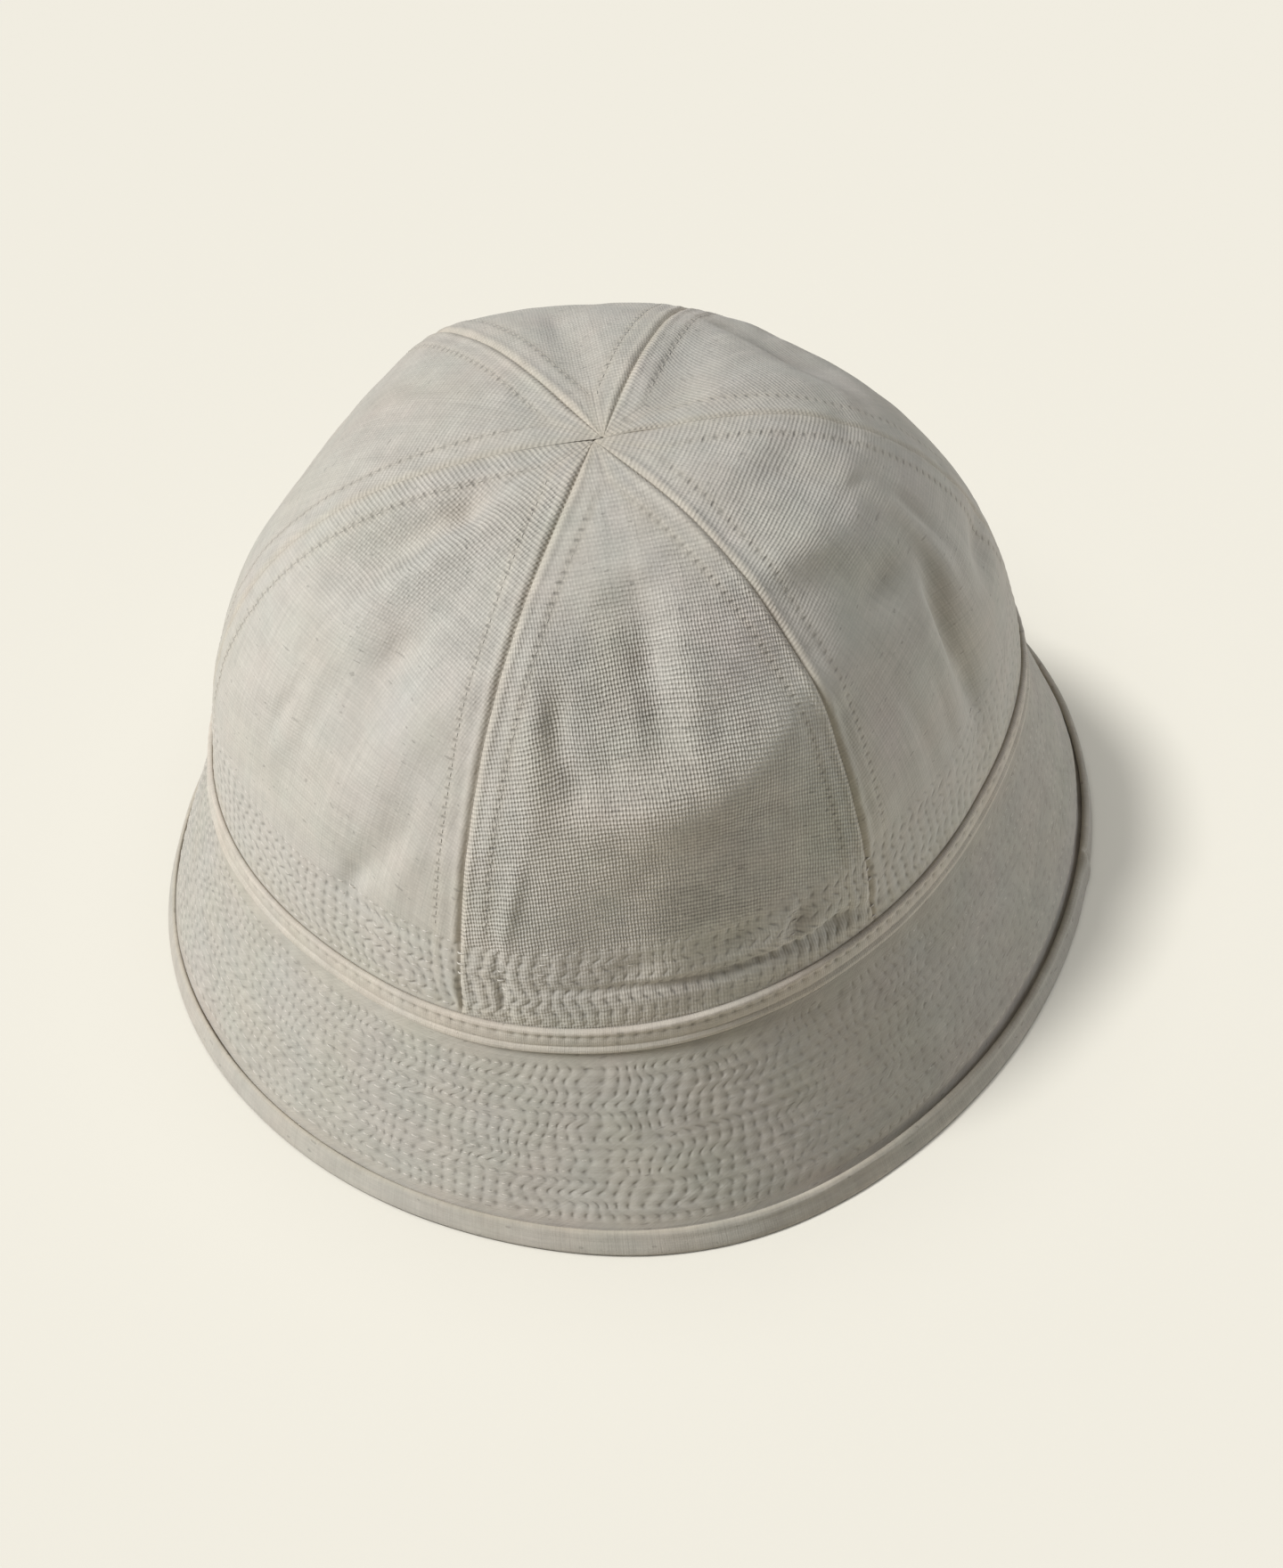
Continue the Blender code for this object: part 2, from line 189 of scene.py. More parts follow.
# The cloth dips into the large folds by this many times more than its solid does; most by the first amount.
# Below nothing it lies shallower, and at -1 it is smooth there, because the creases take the fold's place.
FOLD_DEEPER = 0.8
DEEPER_FOLDS = {
    "temple_hollow": -0.3, "brow_ridge": -0.7, "low_hollow": -1.0, "left_top_hollow": 1.2,
    "left_mid_hollow": -1.0, "left_valley": -1.0, "left_ridge": -1.0, "right_valley": 0.0,
    "right_ridge": 0.4, "right_hollow": -1.0, "right_top_hollow": -0.7,
}

FRONT = -1
BACK = 1
# Each gore's seams to its left and right, seen from outside, how sharply each seam is drawn in, and how
# clearly the gore's weave stands out, in relief and in the painted shade between its threads, low down and
# near the top
Gore = namedtuple("Gore", "name left right side left_sharp right_sharp clear_low clear_high")
GORES = (
    Gore("front_left", -187.5, -124.0, FRONT, 0.50, 1.00, 0.26, 0.90),
    Gore("front", -124.0, -59.5, FRONT, 1.00, 1.00, 1.00, 0.95),
    Gore("front_right", -59.5, -1.0, FRONT, 1.00, 0.55, 0.16, 0.60),
    Gore("back_right", -1.0, 58.2, BACK, 0.55, 0.90, 0.30, 0.55),
    Gore("back", 58.2, 112.6, BACK, 0.90, 0.90, 0.40, 0.55),
    Gore("back_left", 112.6, 172.5, BACK, 0.90, 0.50, 0.40, 0.55),
)
# Shares of a gore's width at which its columns stand close to a seam
EDGE_SHARES = (0.0, 0.0015, 0.003, 0.0045, 0.006, 0.008, 0.0105, 0.0135, 0.017, 0.0215, 0.027, 0.033)
MIDDLE_COLUMNS = 151        # from the last of them on one side to the last on the other
GORE_ROWS_FOOT = 48
GORE_ROWS_ABOVE = 140
FOOT_ZONE = 0.19            # the height up to which the stitched foot needs the finer rows
GORE_TOP = 0.9985           # the height of a gore's last row
GORE_HALF_GAP = 0.00001     # from a gore's edge to the middle of its seam
GORE_INSET_MOST = 0.2       # and the most that this may be, as a share of the crown's radius
COARSE = 4                  # the inner face has one point for this many of the outer face's, each way
EACH_COARSE = (slice(None, None, COARSE), slice(None, None, COARSE))
INNER_DEPTH = 0.0015        # of the crown's inner face, behind the smooth outer face

# Relief along a seam: how far from the seam it lies, its half width, how far it stands out (less than
# nothing dips in), and the share of it that the stitched foot flattens
SeamForm = namedtuple("SeamForm", "name gap width rise flattened")
SEAM_FORMS = (
    SeamForm("roll", 0.0015, 0.0009, 0.00036, 0.5),
    SeamForm("groove", 0.0, 0.00055, -0.00044, 0.0),
    SeamForm("drawn_in", 0.0, 0.0042, -0.00038, 0.5),
)
NARROW_RADIUS = 0.012       # of the crown, inside which the seams' relief closes up
NARROW_LEAST = 0.12         # the share of its width that is left at the top
ALLOWANCE_LIFT = 0.00030    # how far the seam allowance lifts the cloth from below
ALLOWANCE_FADE = (0.0075, 0.0059)   # from the seam to where the lift begins, and to where it is whole
ALLOWANCE_FLATTENED = 0.75  # the share of the lift that the stitched foot flattens
TOPSTITCH = 0.0061          # from the seam to the row of topstitching on each side
TOPSTITCH_MOST = 0.43       # the share of a gore's width that it keeps to where the gore grows narrow
TOPSTITCH_SINK = 0.00020    # how far the topstitching draws the cloth in
TOPSTITCH_WIDTH = 0.0008
SEAM_STITCH = 0.0026
SEAM_LAG = 0.3              # the share of a stitch by which the rows on a seam's two sides are out of step
SEAM_ROW_FOOT = 0.0315      # up the cloth from the joint to the topstitching's first stitch
SEAM_ROW_TOP = 0.935        # the height of its last one
DRAG = 0.00016              # half the height of the ripples that the seams drag into the cloth
DRAG_SEED = 21
DRAG_APART = 17.0           # ripples by which a seam's right-hand side is ahead of its left-hand one
DRAG_LENGTH = 0.0045        # of one ripple along the seam
DRAG_WIDTH = 0.009
DRAG_FADE = (0.014, 0.004)  # from the seam to where the ripples begin, and to where they are whole
DRAG_CLEARANCE = 0.0012     # beside the seam, without ripples

# Smooth random unevenness: its seed, its swings round the cap, the length of each along the cloth, and
# how much it comes to
Waver = namedtuple("Waver", "seed round length amount")
CROWN_SWAY = Waver(31, 28, 0.023, 0.00045)
CROWN_RUMPLE = Waver(32, 72, 0.0085, 0.00020)
CALM_RADIUS = 0.055         # of the crown, inside which its cloth lies ever calmer

# Cloth quilted by close rows of stitches: the slant of the first row, the rows' spacing and number, the
# stitches in each, how far and how wide a row draws the cloth in, half the height of the ripples between
# stitches, the share of them that a row flattens, how far the cloth puffs out, how far the ripples lag
# and the rows drift, and how strong all this is and how unevenly
Quilting = namedtuple("Quilting", "first spacing rows stitches sag sag_width ripple flattened puff "
                      "lag drift strength uneven")
FOOT_QUILTING = Quilting(
    first=0.0080, spacing=0.0030, rows=8, stitches=180,
    sag=0.00012, sag_width=0.0008, ripple=0.00013, flattened=0.0, puff=0.00012,
    lag=Waver(11, 60, 0.0030, 0.60), drift=Waver(12, 40, 0.004, 0.10),
    strength=0.75, uneven=Waver(33, 24, 0.012, 0.45),
)
FOOT_FADE = (0.0305, 0.0275)        # slants at which the stitched foot begins, and is whole
TAPE_CLEARANCE = (0.0058, 0.0092)   # slants at which the cloth's relief begins above the tape, and is whole
# How much of the foot's ripples shows: everywhere, in the rows below these slants, and at the gather
RIBS = 0.45
LOW_RIBS = 0.35
LOW_RIBS_FADE = (0.0185, 0.0145)
GATHER_RIBS = 0.75
GATHER = -118.0
GATHER_WIDTH = 9.0

# How strongly the needle holes show, as dents and as painted shade in them: how close to the seams' row
# they are drawn, where that row fades, and where the foot's grow fainter towards the right
SEAM_HOLES = 0.95
SEAM_HOLES_REACH = 0.6      # in row spacings
SEAM_HOLES_WIDTH = (0.36, 0.20)
SEAM_HOLES_FOOT = (0.0320, 0.0340)
SEAM_HOLES_TOP = (0.94, 0.86)
FOOT_HOLES_LOST = 0.5
RIGHT_SIDE = -50.0
RIGHT_SIDE_FADE = (-12.0, 12.0)


def turned_apart(azimuth, other):
    """Degrees from one azimuth to another, between -180 and 180."""
    return (azimuth - other + 180.0) % 360.0 - 180.0


def oval_radius(oval, azimuth):
    angle = np.radians(azimuth - oval.turn)
    return oval.long * oval.wide / np.hypot(oval.wide * np.cos(angle), oval.long * np.sin(angle))


def swell_at(azimuth, column):
    """How far the swells push the cloth out at an azimuth, for head, middle or rim."""
    total = np.zeros_like(azimuth)
    for swell in SWELLS:
        total += getattr(swell, column) * np.exp(-(turned_apart(azimuth, swell.azimuth) / SWELL_WIDTH) ** 2)
    return total


def head_radius(azimuth):
    return oval_radius(HEAD_OVAL, azimuth) + swell_at(azimuth, "head")


def rim_radius(azimuth):
    return oval_radius(RIM_OVAL, azimuth) + swell_at(azimuth, "rim")


def profile_at(height):
    """The crown's side view at a height: shares of radius and of height."""
    rest = 1.0 - height
    weights = (rest ** 3, 3 * rest ** 2 * height, 3 * rest * height ** 2, height ** 3)
    radius_share = sum(weight * point.radius for weight, point in zip(weights, PROFILE))
    height_share = sum(weight * point.height for weight, point in zip(weights, PROFILE))
    return radius_share, height_share


def plan_radius(azimuth, height):
    """How far the crown's cloth lies from its middle, seen from above, before it swells and folds."""
    return profile_at(height)[0] * head_radius(azimuth)


def fold_depth(folds, azimuth, height, radius):
    """How far the folds of a table together sink the cloth at each place on the crown."""
    total = np.zeros_like(azimuth)
    for fold in folds:
        east = np.radians(turned_apart(azimuth, fold.azimuth)) * radius
        north = (height - fold.height) * CROWN_SLANT
        tilt = radians(fold.tilt)
        along = north * cos(tilt) + east * sin(tilt)
        across = east * cos(tilt) - north * sin(tilt)
        total += fold.depth * np.exp(-(along / fold.along) ** 2 - (across / fold.across) ** 2)
    return total


def stack_points(x, y, z):
    return np.stack(np.broadcast_arrays(x, y, z), axis=-1)


def brim_face(azimuth, down, out):
    """Points down the brim: down is 0 at the head and 1 at the table, out is off its outer face."""
    angle = np.radians(azimuth)
    head = head_radius(azimuth)
    spread = rim_radius(azimuth) - head
    length = np.hypot(BRIM_HEIGHT, spread)
    radius = head + spread * down + out * BRIM_HEIGHT / length
    level = BRIM_HEIGHT * (1.0 - down) + out * spread / length
    return stack_points(radius * np.cos(angle), radius * np.sin(angle), level)


def middle_of_plan():
    """The middle of the hem's outer edge, seen from above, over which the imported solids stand."""
    rim = brim_face(np.arange(360.0), 1.0, HEM_OUT)
    middle = (rim.min(axis=0) + rim.max(axis=0)) / 2
    return np.array((middle[0], middle[1], 0.0))


PLAN_MIDDLE = middle_of_plan()
DRESSED_FOLDS = CREASES + tuple(
    fold._replace(depth=fold.depth * DEEPER_FOLDS.get(fold.name, FOLD_DEEPER)) for fold in FOLDS)


def crown_face(azimuth, height, side):
    """Points of the crown's smooth outer face; side is FRONT or BACK, as the gore's."""
    radius_share, height_share = profile_at(height)
    bulge = swell_at(azimuth, "middle") * np.maximum(0.0, np.sin(pi * height)) ** BULGE_SHAPE
    radius = radius_share * head_radius(azimuth) + bulge
    radius = radius - fold_depth(FOLDS, azimuth, height, radius) * radius_share ** FOLD_FADE
    angle = np.radians(azimuth)
    shift = side * SEAM_STAGGER * (1.0 - radius_share) ** STAGGER_SHAPE
    return stack_points(
        radius * np.cos(angle) + shift + CROWN_LEAN[0] * height_share,
        radius * np.sin(angle) + CROWN_LEAN[1] * height_share,
        BRIM_HEIGHT + height_share * (CAP_HEIGHT - BRIM_HEIGHT),
    )


def unit(vectors):
    return vectors / np.linalg.norm(vectors, axis=-1, keepdims=True)


def crown_outward(azimuth, height, side):
    """The outward directions of the crown's smooth face, from its slopes over a short way round and up."""
    turn = 0.8
    climb = 0.006
    highest = 0.9995
    east = crown_face(azimuth + turn, height, side) - crown_face(azimuth - turn, height, side)
    above = crown_face(azimuth, np.minimum(height + climb, highest), side)
    below = crown_face(azimuth, np.maximum(height - climb, 0.0), side)
    return unit(np.cross(east, above - below))


def ease(value, start, end):
    """0 before start and 1 past end (which may be the lower of the two), smoothly in between."""
    share = np.clip((value - start) / (end - start), 0.0, 1.0)
    return share * share * (3.0 - 2.0 * share)


def bump_at(value, middle, width):
    return np.exp(-((value - middle) / width) ** 2)


def unevenness(seed, x, y, wrap=64):
    """Smooth random unevenness from -1 to 1, a swing for each unit of x and y; x repeats after wrap units."""
    lattice_rows = 64
    lattice = np.random.default_rng(seed).uniform(-1.0, 1.0, (lattice_rows, wrap))
    column = np.floor(x).astype(int)
    row = np.floor(y).astype(int)
    east = ease(x - column, 0.0, 1.0)
    north = ease(y - row, 0.0, 1.0)
    near, far = row % lattice_rows, (row + 1) % lattice_rows
    west_side = lattice[near, column % wrap] * (1.0 - north) + lattice[far, column % wrap] * north
    east_column = (column + 1) % wrap
    east_side = lattice[near, east_column] * (1.0 - north) + lattice[far, east_column] * north
    return west_side * (1.0 - east) + east_side * east


def wavering(waver, azimuth, slant):
    """A waver's unevenness at places round the cap and along its cloth."""
    swings = azimuth / 360.0 * waver.round
    return waver.amount * unevenness(waver.seed, swings, slant / waver.length, wrap=waver.round)


def stitch_phase(quilting, azimuth, slant):
    """How many stitches round the cap a place lies; rows lag behind each other, so ripples waver."""
    return azimuth / 360.0 * quilting.stitches + wavering(quilting.lag, azimuth, slant)


def stitch_row(quilting, azimuth, slant):
    """Which row of stitches a place lies on: 0 is the first, whole numbers lie on a row."""
    return (slant - quilting.first) / quilting.spacing + wavering(quilting.drift, azimuth, slant)


def quilted_relief(quilting, azimuth, slant, ribs):
    """How far quilted cloth stands out, with a share of its ripples, and each place's phase and row."""
    phase = stitch_phase(quilting, azimuth, slant)
    row = stitch_row(quilting, azimuth, slant)
    off_row = (row - np.clip(np.round(row), 0, quilting.rows - 1)) * quilting.spacing
    pinch = bump_at(off_row, 0.0, quilting.sag_width)
    ripple = -np.cos(2.0 * pi * phase) * (1.0 - quilting.flattened * pinch) * ribs
    strength = quilting.strength + wavering(quilting.uneven, azimuth, slant)
    out = strength * (quilting.ripple * ripple - quilting.sag * pinch + quilting.puff)
    return out, phase, row


# A place's distance from its gore's nearer seam, how sharp that seam is, and which it is
SeamPlace = namedtuple("SeamPlace", "gap sharp side")
LEFT = 1.0
RIGHT = 2.0


def nearer_seam(gore, azimuth, radius):
    left_gap = radius * np.sin(np.radians(np.clip(azimuth - gore.left, 0.0, 90.0)))
    right_gap = radius * np.sin(np.radians(np.clip(gore.right - azimuth, 0.0, 90.0)))
    at_left = left_gap < right_gap
    return SeamPlace(np.where(at_left, left_gap, right_gap),
                     np.where(at_left, gore.left_sharp, gore.right_sharp),
                     np.where(at_left, LEFT, RIGHT))


def topstitch_offset(gore, radius):
    """The distance between a seam and its topstitching, which closes up where the gore grows narrow."""
    return np.minimum(TOPSTITCH, radius * sin(radians(TOPSTITCH_MOST * (gore.right - gore.left))))


def seam_relief(gore, seam, slant, radius, on_foot):
    """How far the cloth stands out by its seams: rolled, drawn in, and lifted by the allowance below."""
    narrowing = np.clip(radius / NARROW_RADIUS, NARROW_LEAST, 1.0)
    reach = seam.gap / narrowing
    out = ALLOWANCE_LIFT * ease(reach, *ALLOWANCE_FADE) * (1.0 - ALLOWANCE_FLATTENED * on_foot)
    out = out - TOPSTITCH_SINK * bump_at(reach, TOPSTITCH, TOPSTITCH_WIDTH) * (1.0 - on_foot) * narrowing
    for form in SEAM_FORMS:
        left_by_foot = 1.0 - form.flattened * on_foot
        out = out + form.rise * seam.sharp * bump_at(reach, form.gap, form.width) * narrowing * left_by_foot
    drag = unevenness(DRAG_SEED, slant / DRAG_LENGTH + DRAG_APART * seam.side + gore.left, reach / DRAG_WIDTH)
    drag = drag * ease(reach, *DRAG_FADE) * (1.0 - bump_at(reach, 0.0, DRAG_CLEARANCE))
    return out + DRAG * drag * narrowing


def crown_relief(gore, azimuth, height):
    """How far the finished cloth stands out of its smooth face, and what its stitching attribute says."""
    slant = height * CROWN_SLANT
    radius = plan_radius(azimuth, height)
    seam = nearer_seam(gore, azimuth, radius)
    on_foot = ease(slant, *FOOT_FADE)
    clear_of_tape = ease(slant, *TAPE_CLEARANCE)
    out = seam_relief(gore, seam, slant, radius, on_foot)
    calm_top = np.clip(radius / CALM_RADIUS, 0.0, 1.0)
    out = out + calm_top * (wavering(CROWN_SWAY, azimuth, slant) + wavering(CROWN_RUMPLE, azimuth, slant))
    out = out - fold_depth(DRESSED_FOLDS, azimuth, height, radius)
    gathered = GATHER_RIBS * bump_at(turned_apart(azimuth, GATHER), 0.0, GATHER_WIDTH)
    ribs = RIBS + LOW_RIBS * ease(slant, *LOW_RIBS_FADE) + gathered
    quilted, phase, row = quilted_relief(FOOT_QUILTING, azimuth, slant, ribs)
    out = (out + on_foot * clear_of_tape * quilted) * clear_of_tape

    # The needle holes' share, which dents the cloth and paints shade in the holes; the foot's are fainter
    # towards the right.
    at_right = ease(turned_apart(azimuth, RIGHT_SIDE), *RIGHT_SIDE_FADE)
    foot_holes = on_foot * clear_of_tape * (1.0 - FOOT_HOLES_LOST * at_right)
    seam_row = (seam.gap - topstitch_offset(gore, radius)) / FOOT_QUILTING.spacing
    seam_holes = SEAM_HOLES * ease(np.abs(seam_row), *SEAM_HOLES_WIDTH)
    seam_holes = seam_holes * ease(height, *SEAM_HOLES_TOP) * ease(slant, *SEAM_HOLES_FOOT)
    by_seam = (np.abs(seam_row) < SEAM_HOLES_REACH) & (slant > SEAM_ROW_FOOT)
    stitching = stack_points(
        np.where(by_seam, slant / SEAM_STITCH + SEAM_LAG * seam.side, phase),
        np.where(by_seam, seam_row, row),
        np.where(by_seam, seam_holes, foot_holes),
    )
    return out, stitching


def crown_surface(gore, azimuth, height):
    """Points on the finished cloth of a gore and the outward directions there."""
    out, stitching = crown_relief(gore, azimuth, height)
    outward = crown_outward(azimuth, height, gore.side)
    points = crown_face(azimuth, height, gore.side) + outward * out[..., None] - PLAN_MIDDLE
    return points, outward, stitching


def grid_faces(rows, columns, first, closed, outward):
    """Quads over a grid of points whose first index is given, facing outwards or inwards."""
    count = columns if closed else columns - 1
    row = np.arange(rows - 1)[:, None]
    column = np.arange(count)[None, :]
    following = (column + 1) % columns
    corners = (row * columns + column, row * columns + following,
               (row + 1) * columns + following, (row + 1) * columns + column)
    faces = np.stack([corner + first for corner in corners], axis=-1).reshape(-1, 4)
    if not outward:
        faces = faces[:, ::-1]
    return faces.tolist()


def edge_loops(rows, columns, first, closed):
    """The point numbers along a grid's free edges, in the turning sense of its outward faces."""
    numbers = np.arange(rows * columns).reshape(rows, columns) + first
    if closed:
        bottom = list(numbers[0]) + [numbers[0][0]]
        top = list(numbers[-1][::-1])
        top = [top[-1]] + top
        return [bottom, top]
    return [list(numbers[0]) + list(numbers[1:, -1]) + list(numbers[-1, -2::-1]) + list(numbers[-2::-1, 0])]


def make_piece(name, points, faces, attributes, smooth_count):
    """An object with the named attributes at its points, and its first so many faces shaded smooth."""
    mesh = bpy.data.meshes.new(name)
    mesh.from_pydata(points.tolist(), [], faces)
    smooth = np.zeros(len(faces), bool)
    smooth[:smooth_count] = True
    mesh.polygons.foreach_set("use_smooth", smooth)
    for title, value in attributes.items():
        attribute = mesh.attributes.new(title, "FLOAT_VECTOR", "POINT")
        attribute.data.foreach_set("vector", value.astype(np.float32).ravel())
    mesh.update()
    piece = bpy.data.objects.new(name, mesh)
    bpy.context.collection.objects.link(piece)
    return piece


def make_wall(name, outer, inner, attributes, closed):
    """A wall of cloth with a fine outer face, a coarser inner face and edges between them."""
    rows, columns = outer.shape[:2]
    inner_rows, inner_columns = inner.shape[:2]
    first_inner = rows * columns
    faces = grid_faces(rows, columns, 0, closed, outward=True)
    faces += grid_faces(inner_rows, inner_columns, first_inner, closed, outward=False)
    smooth_count = len(faces)
    outer_loops = edge_loops(rows, columns, 0, closed)
    inner_loops = edge_loops(inner_rows, inner_columns, first_inner, closed)
    for outer_loop, inner_loop in zip(outer_loops, inner_loops):
        for step in range(len(inner_loop) - 1):
            fine = outer_loop[step * COARSE:(step + 1) * COARSE + 1]
            faces.append([int(n) for n in fine[::-1]] + [int(inner_loop[step]), int(inner_loop[step + 1])])
    points = np.concatenate((outer.reshape(-1, 3), inner.reshape(-1, 3)))
    values = {}
    for title, value in attributes.items():
        inside = value[EACH_COARSE]
        if title == "stitching":
            inside = np.zeros_like(inside)      # no needle holes are drawn inside
        values[title] = np.concatenate((value.reshape(-1, 3), inside.reshape(-1, 3)))
    return make_piece(name, points, faces, values, smooth_count)


# Soft patches of colour on the crown: where each lies, its half height as a share, its half width in
# degrees, and how much pinker and warmer it is
Patch = namedtuple("Patch", "azimuth height rise width pink warm")
PATCHES = (
    Patch(-92.0, 0.32, 0.16, 15.0, 0.9, 0.9),
    Patch(-72.0, 0.63, 0.12, 10.0, 0.9, -0.2),
    Patch(-66.0, 0.28, 0.12, 8.0, -0.9, 0.9),
    Patch(-85.0, 0.15, 0.04, 8.0, -0.6, 0.5),
    Patch(-112.0, 0.52, 0.12, 3.0, 0.7, 0.8),
    Patch(-100.0, 0.68, 0.09, 7.0, -0.2, 0.6),
    Patch(-39.0, 0.55, 0.12, 9.0, -0.9, 0.7),
    Patch(-50.0, 0.32, 0.08, 3.0, 0.7, -0.8),
    Patch(-26.0, 0.30, 0.10, 4.0, 0.2, 0.8),
    Patch(-143.0, 0.54, 0.14, 5.0, -0.6, -0.8),
    Patch(-160.0, 0.75, 0.12, 5.0, -0.5, -0.3),
    Patch(-150.0, 0.50, 0.12, 4.0, 0.6, 0.1),
    Patch(-136.0, 0.30, 0.10, 5.0, 0.6, 0.1),
    Patch(-168.0, 0.80, 0.06, 6.0, 0.8, 0.8),
    Patch(60.0, 0.60, 0.15, 14.0, 0.7, 0.5),
    Patch(100.0, 0.45, 0.15, 12.0, -0.6, 0.5),
    Patch(140.0, 0.65, 0.12, 10.0, 0.6, 0.2),
)

Tint = namedtuple("Tint", "pink warm")
SEAM_TINT = Tint(0.9, 1.1)      # of the cloth along a seam
SEAM_TINT_WIDTH = 0.0016
TOPSTITCH_TINT = 0.45           # the share of it along the topstitching
TOPSTITCH_TINT_WIDTH = 0.0012
TAPE_TINT = Tint(0.2, 0.7)      # of the cloth just above the tape
TAPE_TINT_FADE = (0.0130, 0.0080)
PINK_DRIFT = Waver(72, 40, 0.014, 0.35)
WARM_DRIFT = Waver(73, 40, 0.014, 0.35)

# How clear the weave is, in relief and in the painted shade between its threads: the heights between which it
# changes, its share on the stitched foot, and its drift
CLEARING = (0.48, 0.74)
FOOT_BLUR = 0.72
FOOT_BLUR_FADE = (0.0320, 0.0270)
CLEARNESS = 0.9
CLEARNESS_DRIFT = Waver(71, 24, 0.02, 0.25)
# Where the front gore's weave is clearer, or less than nothing fainter: past which azimuths and heights
Clearer = namedtuple("Clearer", "amount around up")
EVERYWHERE = (-180.0, -179.0)
FRONT_CLEARER = (
    Clearer(0.5, EVERYWHERE, (0.50, 0.30)),
    Clearer(-0.4, EVERYWHERE, (0.66, 0.84)),
    Clearer(-0.6, (-84.0, -66.0), (0.55, 0.35)),
    Clearer(-0.4, (-114.0, -120.0), (0.70, 0.50)),
)

# The flat gore as it was cut: how its rows curve, at the top and how much more at the foot, and how far the
# threads up it show beside those across it
ROW_CURVE = 0.32
ROW_CURVE_FOOT = 0.18
WARP_SHOWN = 0.45
FRONT_SKEW = 0.09           # how askew the front gore's threads run
FRONT_CLOSER = 0.88         # and how its threads' spacing compares, along their way up
FRONT_WARP_LOST = 0.6       # the share of its upright threads that is lost to sight near the top
FRONT_WARP_FADE = (0.66, 0.80)
GORE_APART = 0.3            # metres on the cloth for each degree round, so that no two gores look alike


def gore_finish(gore, azimuth, height):
    """How clear the weave is at each place, and how much pinker and warmer its colour."""
    slant = height * CROWN_SLANT
    radius = plan_radius(azimuth, height)
    gap = nearer_seam(gore, azimuth, radius).gap
    clear = gore.clear_low + (gore.clear_high - gore.clear_low) * ease(height, *CLEARING)
    for place in FRONT_CLEARER if gore.name == "front" else ():
        clear = clear + place.amount * ease(azimuth, *place.around) * ease(height, *place.up)
    clear = clear * (1.0 - FOOT_BLUR * ease(slant, *FOOT_BLUR_FADE))
    clear = clear * (CLEARNESS + wavering(CLEARNESS_DRIFT, azimuth, slant))
    pink = wavering(PINK_DRIFT, azimuth, slant)
    warm = wavering(WARM_DRIFT, azimuth, slant)
    for patch in PATCHES:
        share = np.exp(-(turned_apart(azimuth, patch.azimuth) / patch.width) ** 2
                       - ((height - patch.height) / patch.rise) ** 2)
        pink += patch.pink * share
        warm += patch.warm * share
    stitched = bump_at(gap, topstitch_offset(gore, radius), TOPSTITCH_TINT_WIDTH)
    by_seam = bump_at(gap, 0.0, SEAM_TINT_WIDTH) + TOPSTITCH_TINT * stitched
    by_tape = ease(slant, *TAPE_TINT_FADE)
    pink = pink + SEAM_TINT.pink * by_seam + TAPE_TINT.pink * by_tape
    warm = warm + SEAM_TINT.warm * by_seam + TAPE_TINT.warm * by_tape
    return stack_points(clear, pink, warm)


def gore_weave(gore, azimuth, height):
    """Metres across and up the flat gore as it was cut, and how far its upright threads show."""
    turn = np.radians(azimuth - (gore.left + gore.right) / 2)
    across = plan_radius(azimuth, height) * turn
    up = height * CROWN_SLANT + (ROW_CURVE + ROW_CURVE_FOOT * (1.0 - height)) * across * turn
    warp_shown = WARP_SHOWN
    if gore.name == "front":
        up = (up + FRONT_SKEW * across) * FRONT_CLOSER
        warp_shown = 1.0 - FRONT_WARP_LOST * ease(height, *FRONT_WARP_FADE)
    return stack_points(across + GORE_APART * gore.left, up, warp_shown)


def make_gore(gore, material):
    """One gore of the crown, from under the tape to its point at the top."""
    heights = np.concatenate((
        np.linspace(0.0, FOOT_ZONE, GORE_ROWS_FOOT + 1),
        np.linspace(FOOT_ZONE, GORE_TOP, GORE_ROWS_ABOVE + 1)[1:],
    ))
    edge = np.array(EDGE_SHARES)
    middle = np.linspace(edge[-1], 1.0 - edge[-1], MIDDLE_COLUMNS)[1:-1]
    share, height = np.meshgrid(np.concatenate((edge, middle, 1.0 - edge[::-1])), heights)
    radius = plan_radius(np.full_like(height, gore.left), height)
    inset = np.degrees(np.arcsin(np.minimum(GORE_HALF_GAP / radius, GORE_INSET_MOST)))
    azimuth = gore.left + inset + (gore.right - gore.left - 2.0 * inset) * share
    outer, outward, stitching = crown_surface(gore, azimuth, height)
    dip = fold_depth(DRESSED_FOLDS, azimuth, height, plan_radius(azimuth, height))
    inner = crown_face(azimuth, height, gore.side) - PLAN_MIDDLE - outward * (INNER_DEPTH + dip)[..., None]
    attributes = {"weave": gore_weave(gore, azimuth, height), "stitching": stitching,
                  "finish": gore_finish(gore, azimuth, height)}
    piece = make_wall("gore_" + gore.name, outer, inner[EACH_COARSE], attributes, closed=False)
    piece.data.materials.append(material)
    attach(piece, "root")
    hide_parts("crown_panel_" + gore.name)
    return piece


